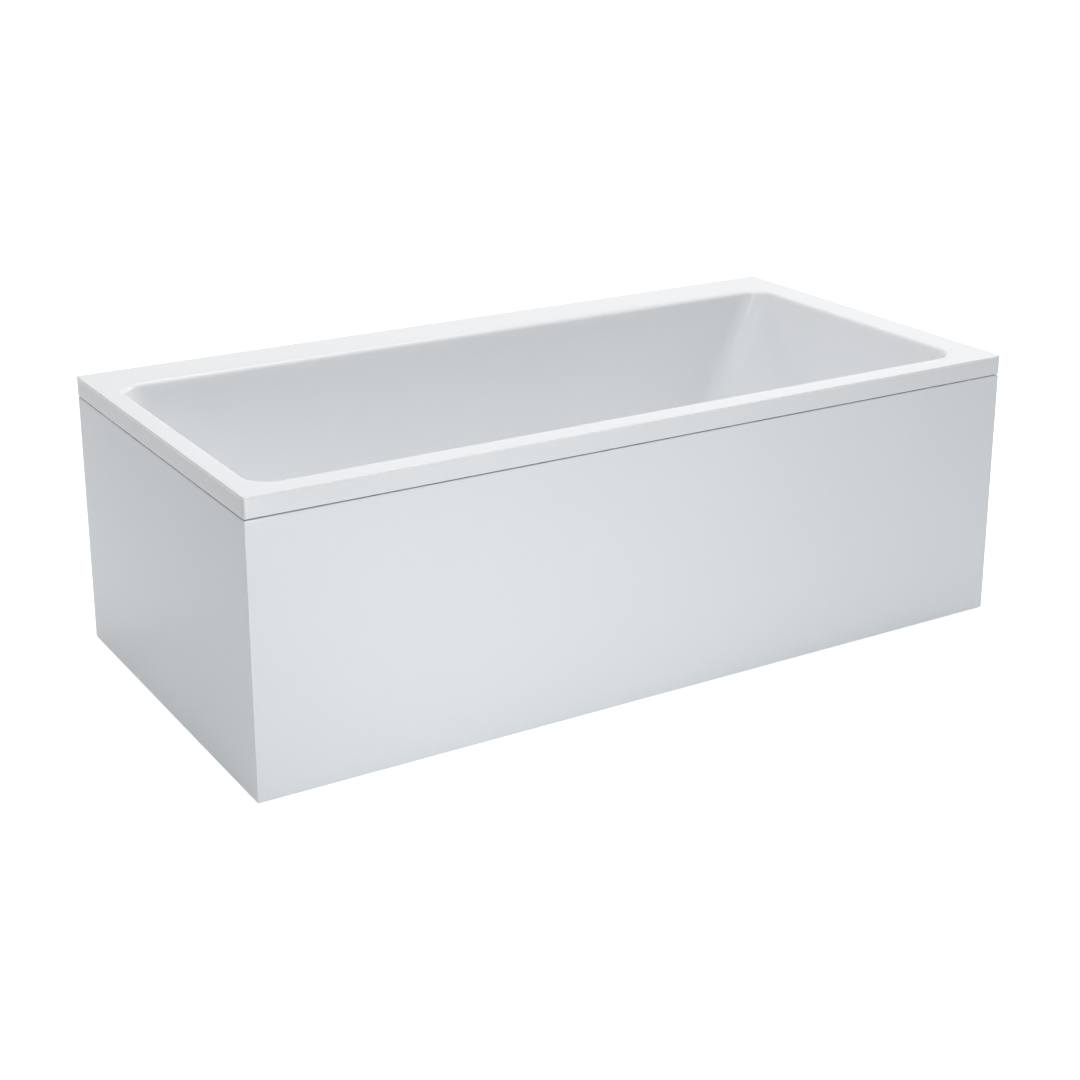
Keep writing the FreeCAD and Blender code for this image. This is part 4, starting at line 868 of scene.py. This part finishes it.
class BATHTUB_OT_panels(bpy.types.Operator):
    """Builds the front panel and the end panel, mitred at their corner"""

    bl_idname = "bathtub.panels"
    bl_label = "Panels"

    def execute(self, context):
        sizes = context.scene.bathtub_panels
        made = finishes()
        gap = sizes.mitre_gap

        def on_front(s, d, z):
            """Length along +X, depth along +Y."""
            return np.stack([s, FRONT_LOW.y + d, z], -1)

        def on_end(s, d, z):
            """Length along -Y, depth along +X."""
            return np.stack([END_LOW.x + d, -s, z], -1)

        height = (FRONT_LOW.z, FRONT_HIGH.z)
        corner, spare = END_LOW.x, 0.03
        front = tray_mesh("front_cladding_sheet", (corner - spare, FRONT_HIGH.x),
                          FRONT_HIGH.y - FRONT_LOW.y, height, sizes, corner + gap, on_front)
        end = tray_mesh("end_cladding_sheet", (-END_HIGH.y, -FRONT_LOW.y + spare),
                        END_HIGH.x - END_LOW.x, height, sizes, -FRONT_LOW.y, on_end)
        make_piece("front_cladding_sheet", front, "front_cladding",
                   [made["panel"]], ["front_panel"])
        make_piece("end_cladding_sheet", end, "end_cladding",
                   [made["panel"]], ["end_panel"])
        return {"FINISHED"}


# ---------------------------------------------------------------- fittings
FEET = 5


class BATHTUB_OT_fittings(bpy.types.Operator):
    """Builds the scalloped overflow knob and the domed plug"""

    bl_idname = "bathtub.fittings"
    bl_label = "Knob and plug"

    def execute(self, context):
        sizes = context.scene.bathtub_fittings
        shell = context.scene.bathtub_shell
        made = finishes()
        self.knob(sizes, shell, made)
        self.plug(made)
        return {"FINISHED"}

    def knob(self, sizes, shell, made):
        """Cap with rounded edges, a shallow dished face, its shaft and its cable drum."""
        axes, middle = overflow_matrix(shell)
        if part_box("overflow_knob")[0].x > middle[0]:
            raise RuntimeError("the knob's node isn't at the overflow")
        back, front = sizes.knob_gap, sizes.knob_gap + sizes.knob_thickness
        radius, edge, flat = sizes.knob_radius, 0.003, 0.002
        shaft, drum_radius, drum_low, drum_high = 0.004, 0.009, -0.0345, -0.0285
        dish_start, dish_edge, dish_floor, dish_drop = 0.009, 0.0015, 0.012, 0.001
        profile = [(0, drum_low), (drum_radius, drum_low), (drum_radius, drum_high),
                   (shaft, drum_high), (shaft, back), (radius - edge - 2 * flat, back)]
        profile += arc((radius - edge, back + edge), edge, -90, 0, 7)
        profile += arc((radius - edge, front - edge), edge, 0, 90, 9)
        profile += [(radius - edge - flat, front), (radius - dish_start, front),
                    (radius - dish_start - dish_edge, front - 0.6 * dish_drop),
                    (dish_floor, front - 0.9 * dish_drop), (shaft, front - dish_drop),
                    (0, front - dish_drop)]

        def scalloped(r, a):
            """The radius drops to a round scallop at even steps, and fades out inwards."""
            step = 2 * np.pi / sizes.scallops
            off = (a % step) - step / 2
            centre = radius + sizes.scallop_radius - sizes.scallop_depth
            inside = np.maximum(sizes.scallop_radius ** 2 - (centre * np.sin(off)) ** 2, 0)
            reach = np.where(inside > 0, centre * np.cos(off) - np.sqrt(inside), radius)
            reach = np.minimum(reach, radius)
            fade_start, fade_end = 0.7 * radius, 0.95 * radius
            share = np.clip((r - fade_start) / (fade_end - fade_start), 0, 1)
            share = share * share * (3 - 2 * share)
            return r * (1 - share * (1 - reach / radius))

        points, faces = revolve(profile, sides=240, radius_of=scalloped)
        mesh = make_mesh("turn_knob", points @ axes + middle, faces)
        make_piece("turn_knob", mesh, "knob", [made["chrome"]], ["overflow_knob"])

    def plug(self, made):
        """Cap with a rolled edge round a shallow dome, a cap of a sphere that meets its rim."""
        middle, radius, low, high = upright("plug_cap")
        edge, rim, roll = 0.0012, 0.0025, 75
        crown = high - low - rim
        dome = (radius ** 2 + crown ** 2) / (2 * crown)
        reach = np.linspace(radius - edge, 0, 14)[:-1]
        over = high - dome + np.sqrt(dome ** 2 - reach ** 2)
        profile = [(0, low)]
        profile += arc((radius - edge, low + edge), edge, -90, 0, 5)
        profile += arc((radius - edge, low + rim - 0.2 * edge), edge, 0, roll, 5)
        profile += np.stack([reach, over], -1).tolist() + [(0, high)]
        points, faces = revolve(profile, sides=128)
        mesh = make_mesh("pop_up_plug", points + middle, faces)
        make_piece("pop_up_plug", mesh, "plug", [made["chrome"]], ["plug_cap"])


class BATHTUB_OT_feet(bpy.types.Operator):
    """Builds the threaded rods of the levelling feet"""

    bl_idname = "bathtub.feet"
    bl_label = "Feet"

    def execute(self, context):
        sizes = context.scene.bathtub_fittings
        made = finishes()
        for number in range(1, FEET + 1):
            node, name = "foot_rod_%d" % number, "threaded_rod_%d" % number
            middle, radius, low, high = upright(node)
            points, faces = self.thread(radius, low, high, sizes)
            make_piece(name, make_mesh(name, points + middle, faces), "foot_%d" % number,
                       [made["zinc"]], [node])
        return {"FINISHED"}

    def thread(self, radius, low, high, sizes):
        """Rod whose radius falls by a triangle wave of height less angle over the pitch.

        The wave is cut flat at crest and root, and fades out at both ends, where a chamfer
        closes to a flat end.
        """
        sides, rows_per_turn, chamfer, fade_length = 20, 5, 0.001, 0.002
        steepness, root = 1.25, 0.1
        rows = int((high - low) / sizes.thread_pitch * rows_per_turn)
        angle = np.arange(sides) * 2 * np.pi / sides
        z, a = np.meshgrid(np.linspace(low + chamfer, high - chamfer, rows), angle, indexing="ij")
        wave = np.abs(2 * (((z - low) / sizes.thread_pitch - a / (2 * np.pi)) % 1.0) - 1)
        fade = np.clip((np.minimum(z - low, high - z) - chamfer) / fade_length, 0, 1)
        r = radius - sizes.thread_depth * (1 - np.clip(wave * steepness - root, 0, 1) * fade)
        end = np.full((1, sides), radius - sizes.thread_depth - chamfer)
        r = np.concatenate([end, r, end])
        z = np.concatenate([np.full((1, sides), low), z, np.full((1, sides), high)])
        points = np.stack([r * np.cos(angle), r * np.sin(angle), z], -1).reshape(-1, 3)
        bottom = list(range(sides))[::-1]
        top = list(range((rows + 1) * sides, (rows + 2) * sides))
        return points, grid_quads(rows + 2, sides).tolist() + [bottom, top]


class BATHTUB_OT_finishes(bpy.types.Operator):
    """Gives every node that stays its finish"""

    bl_idname = "bathtub.finishes"
    bl_label = "Finishes"

    def execute(self, context):
        made = finishes()
        for part in frame["record"]["subparts"]:
            node = frame["nodes"][part["node"]]
            if not node.material_slots:
                raise RuntimeError("node %s has no material slot" % part["node"])
            for place in node.material_slots:
                place.material = made[part["material_slot"]]
        return {"FINISHED"}


# ---------------------------------------------------------------- stage
class BATHTUB_OT_stage(bpy.types.Operator):
    """Sets up floor, lamps, sky and camera"""

    bl_idname = "bathtub.stage"
    bl_label = "Stage"

    def execute(self, context):
        stage = context.scene.bathtub_stage
        self.floor(stage)
        self.sky(context, stage)
        self.lamps(stage)
        self.camera(context, stage)
        context.scene.view_settings.view_transform = "Standard"
        return {"FINISHED"}

    def floor(self, stage):
        """Wide level floor, pale, that shows white where no shadow falls."""
        reach, below = 60.0, 0.0002
        points = np.array([(-reach, -reach, -below), (reach, -reach, -below),
                           (reach, reach, -below), (-reach, reach, -below)])
        mesh = make_mesh("floor", points, [[0, 1, 2, 3]])
        floor = bpy.data.objects.new("floor", mesh)
        bpy.context.scene.collection.objects.link(floor)
        material = bpy.data.materials.new("stage floor")
        material.use_nodes = True
        tree = material.node_tree
        tree.nodes.clear()
        paint = add_node(tree, "ShaderNodeBsdfDiffuse")
        paint.inputs["Color"].default_value = (*stage.floor, 1.0)
        level = add_node(tree, "ShaderNodeMath", operation="MULTIPLY")
        level.inputs[1].default_value = stage.glow
        glow = add_node(tree, "ShaderNodeEmission")
        both = add_node(tree, "ShaderNodeAddShader")
        out = add_node(tree, "ShaderNodeOutputMaterial")
        link(tree, (seen_rays(tree), level.inputs[0]), (level.outputs[0], glow.inputs["Strength"]),
             (paint.outputs[0], both.inputs[0]), (glow.outputs[0], both.inputs[1]),
             (both.outputs[0], out.inputs["Surface"]))
        mesh.materials.append(material)

    def sky(self, context, stage):
        """White where the camera, a mirror or glass sees it, and an even light elsewhere."""
        world = bpy.data.worlds.new("studio")
        context.scene.world = world
        world.use_nodes = True
        tree = world.node_tree
        tree.nodes.clear()
        light = add_node(tree, "ShaderNodeBackground")
        light.inputs["Color"].default_value = (0.97, 0.985, 1.0, 1.0)
        light.inputs["Strength"].default_value = stage.sky
        white = add_node(tree, "ShaderNodeBackground")
        white.inputs["Color"].default_value = (1.0, 1.0, 1.0, 1.0)
        white.inputs["Strength"].default_value = 1.0
        mix = add_node(tree, "ShaderNodeMixShader")
        out = add_node(tree, "ShaderNodeOutputWorld")
        link(tree, (seen_rays(tree), mix.inputs["Fac"]), (light.outputs[0], mix.inputs[1]),
             (white.outputs[0], mix.inputs[2]), (mix.outputs[0], out.inputs["Surface"]))

    def lamps(self, stage):
        """Soft lamps: low in front, above the drain end, wide overhead and past the backrest."""
        for name, power, place, target, size in (
            ("key lamp", stage.key, (-0.55, -1.9, 0.3), (-0.35, -0.42, 0.3), 0.7),
            ("side lamp", stage.side, (-0.9, -1.6, 3.2), (-0.5, -0.2, 0.4), 2.0),
            ("top lamp", stage.top, (0.3, 0.2, 4.6), (0.0, 0.0, 0.5), 3.6),
            ("end lamp", stage.end, (4.5, 0.0, 3.0), (0.0, 0.0, 0.4), 3.0),
        ):
            lamp = bpy.data.lights.new(name, "AREA")
            lamp.shape, lamp.size, lamp.energy = "SQUARE", size, power
            holder = bpy.data.objects.new(name, lamp)
            bpy.context.scene.collection.objects.link(holder)
            holder.location = place
            aim = Vector(np.array(target) - np.array(place))
            holder.rotation_mode = "QUATERNION"
            holder.rotation_quaternion = aim.to_track_quat("-Z", "Y")

    def camera(self, context, stage):
        """Camera at the photograph's viewing angle."""
        camera = bpy.data.cameras.new("camera")
        camera.sensor_width = 36.0
        camera.lens = stage.lens
        camera.shift_y = stage.camera_shift
        camera.clip_end = 200.0
        holder = bpy.data.objects.new("camera", camera)
        context.scene.collection.objects.link(holder)
        a, e = stage.camera_azimuth, stage.camera_elevation
        back = Vector((math.sin(a) * math.cos(e), -math.cos(a) * math.cos(e), math.sin(e)))
        holder.location = stage.camera_place
        holder.rotation_mode = "QUATERNION"
        holder.rotation_quaternion = (-back).to_track_quat("-Z", "Y")
        context.scene.camera = holder


OPERATORS = (
    BATHTUB_OT_stage,
    BATHTUB_OT_finishes,
    BATHTUB_OT_shell,
    BATHTUB_OT_panels,
    BATHTUB_OT_fittings,
    BATHTUB_OT_feet,
)


class BATHTUB_PT_tools(bpy.types.Panel):
    """Lists the steps that build the bathtub"""

    bl_idname = "BATHTUB_PT_tools"
    bl_label = "Bathtub"
    bl_space_type = "VIEW_3D"
    bl_region_type = "UI"
    bl_category = "Bathtub"

    def draw(self, context):
        for operator in OPERATORS:
            self.layout.operator(operator.bl_idname)
        for name in SETTINGS:
            box = self.layout.box()
            group = getattr(context.scene, name)
            for key in group.bl_rna.properties.keys():
                if key not in ("rna_type", "name"):
                    box.prop(group, key)


def register():
    """Registers the settings, the operators and the panel."""
    for name, group in SETTINGS.items():
        bpy.utils.register_class(group)
        setattr(bpy.types.Scene, name, bpy.props.PointerProperty(type=group))
    for operator in OPERATORS:
        bpy.utils.register_class(operator)
    bpy.utils.register_class(BATHTUB_PT_tools)


def unregister():
    """Takes them away again, last first."""
    bpy.utils.unregister_class(BATHTUB_PT_tools)
    for operator in reversed(OPERATORS):
        bpy.utils.unregister_class(operator)
    for name, group in reversed(SETTINGS.items()):
        delattr(bpy.types.Scene, name)
        bpy.utils.unregister_class(group)


def main():
    register()
    for operator in OPERATORS:
        name = operator.bl_idname.split(".")[1]
        getattr(bpy.ops.bathtub, name)()


if __name__ == "__main__":
    main()
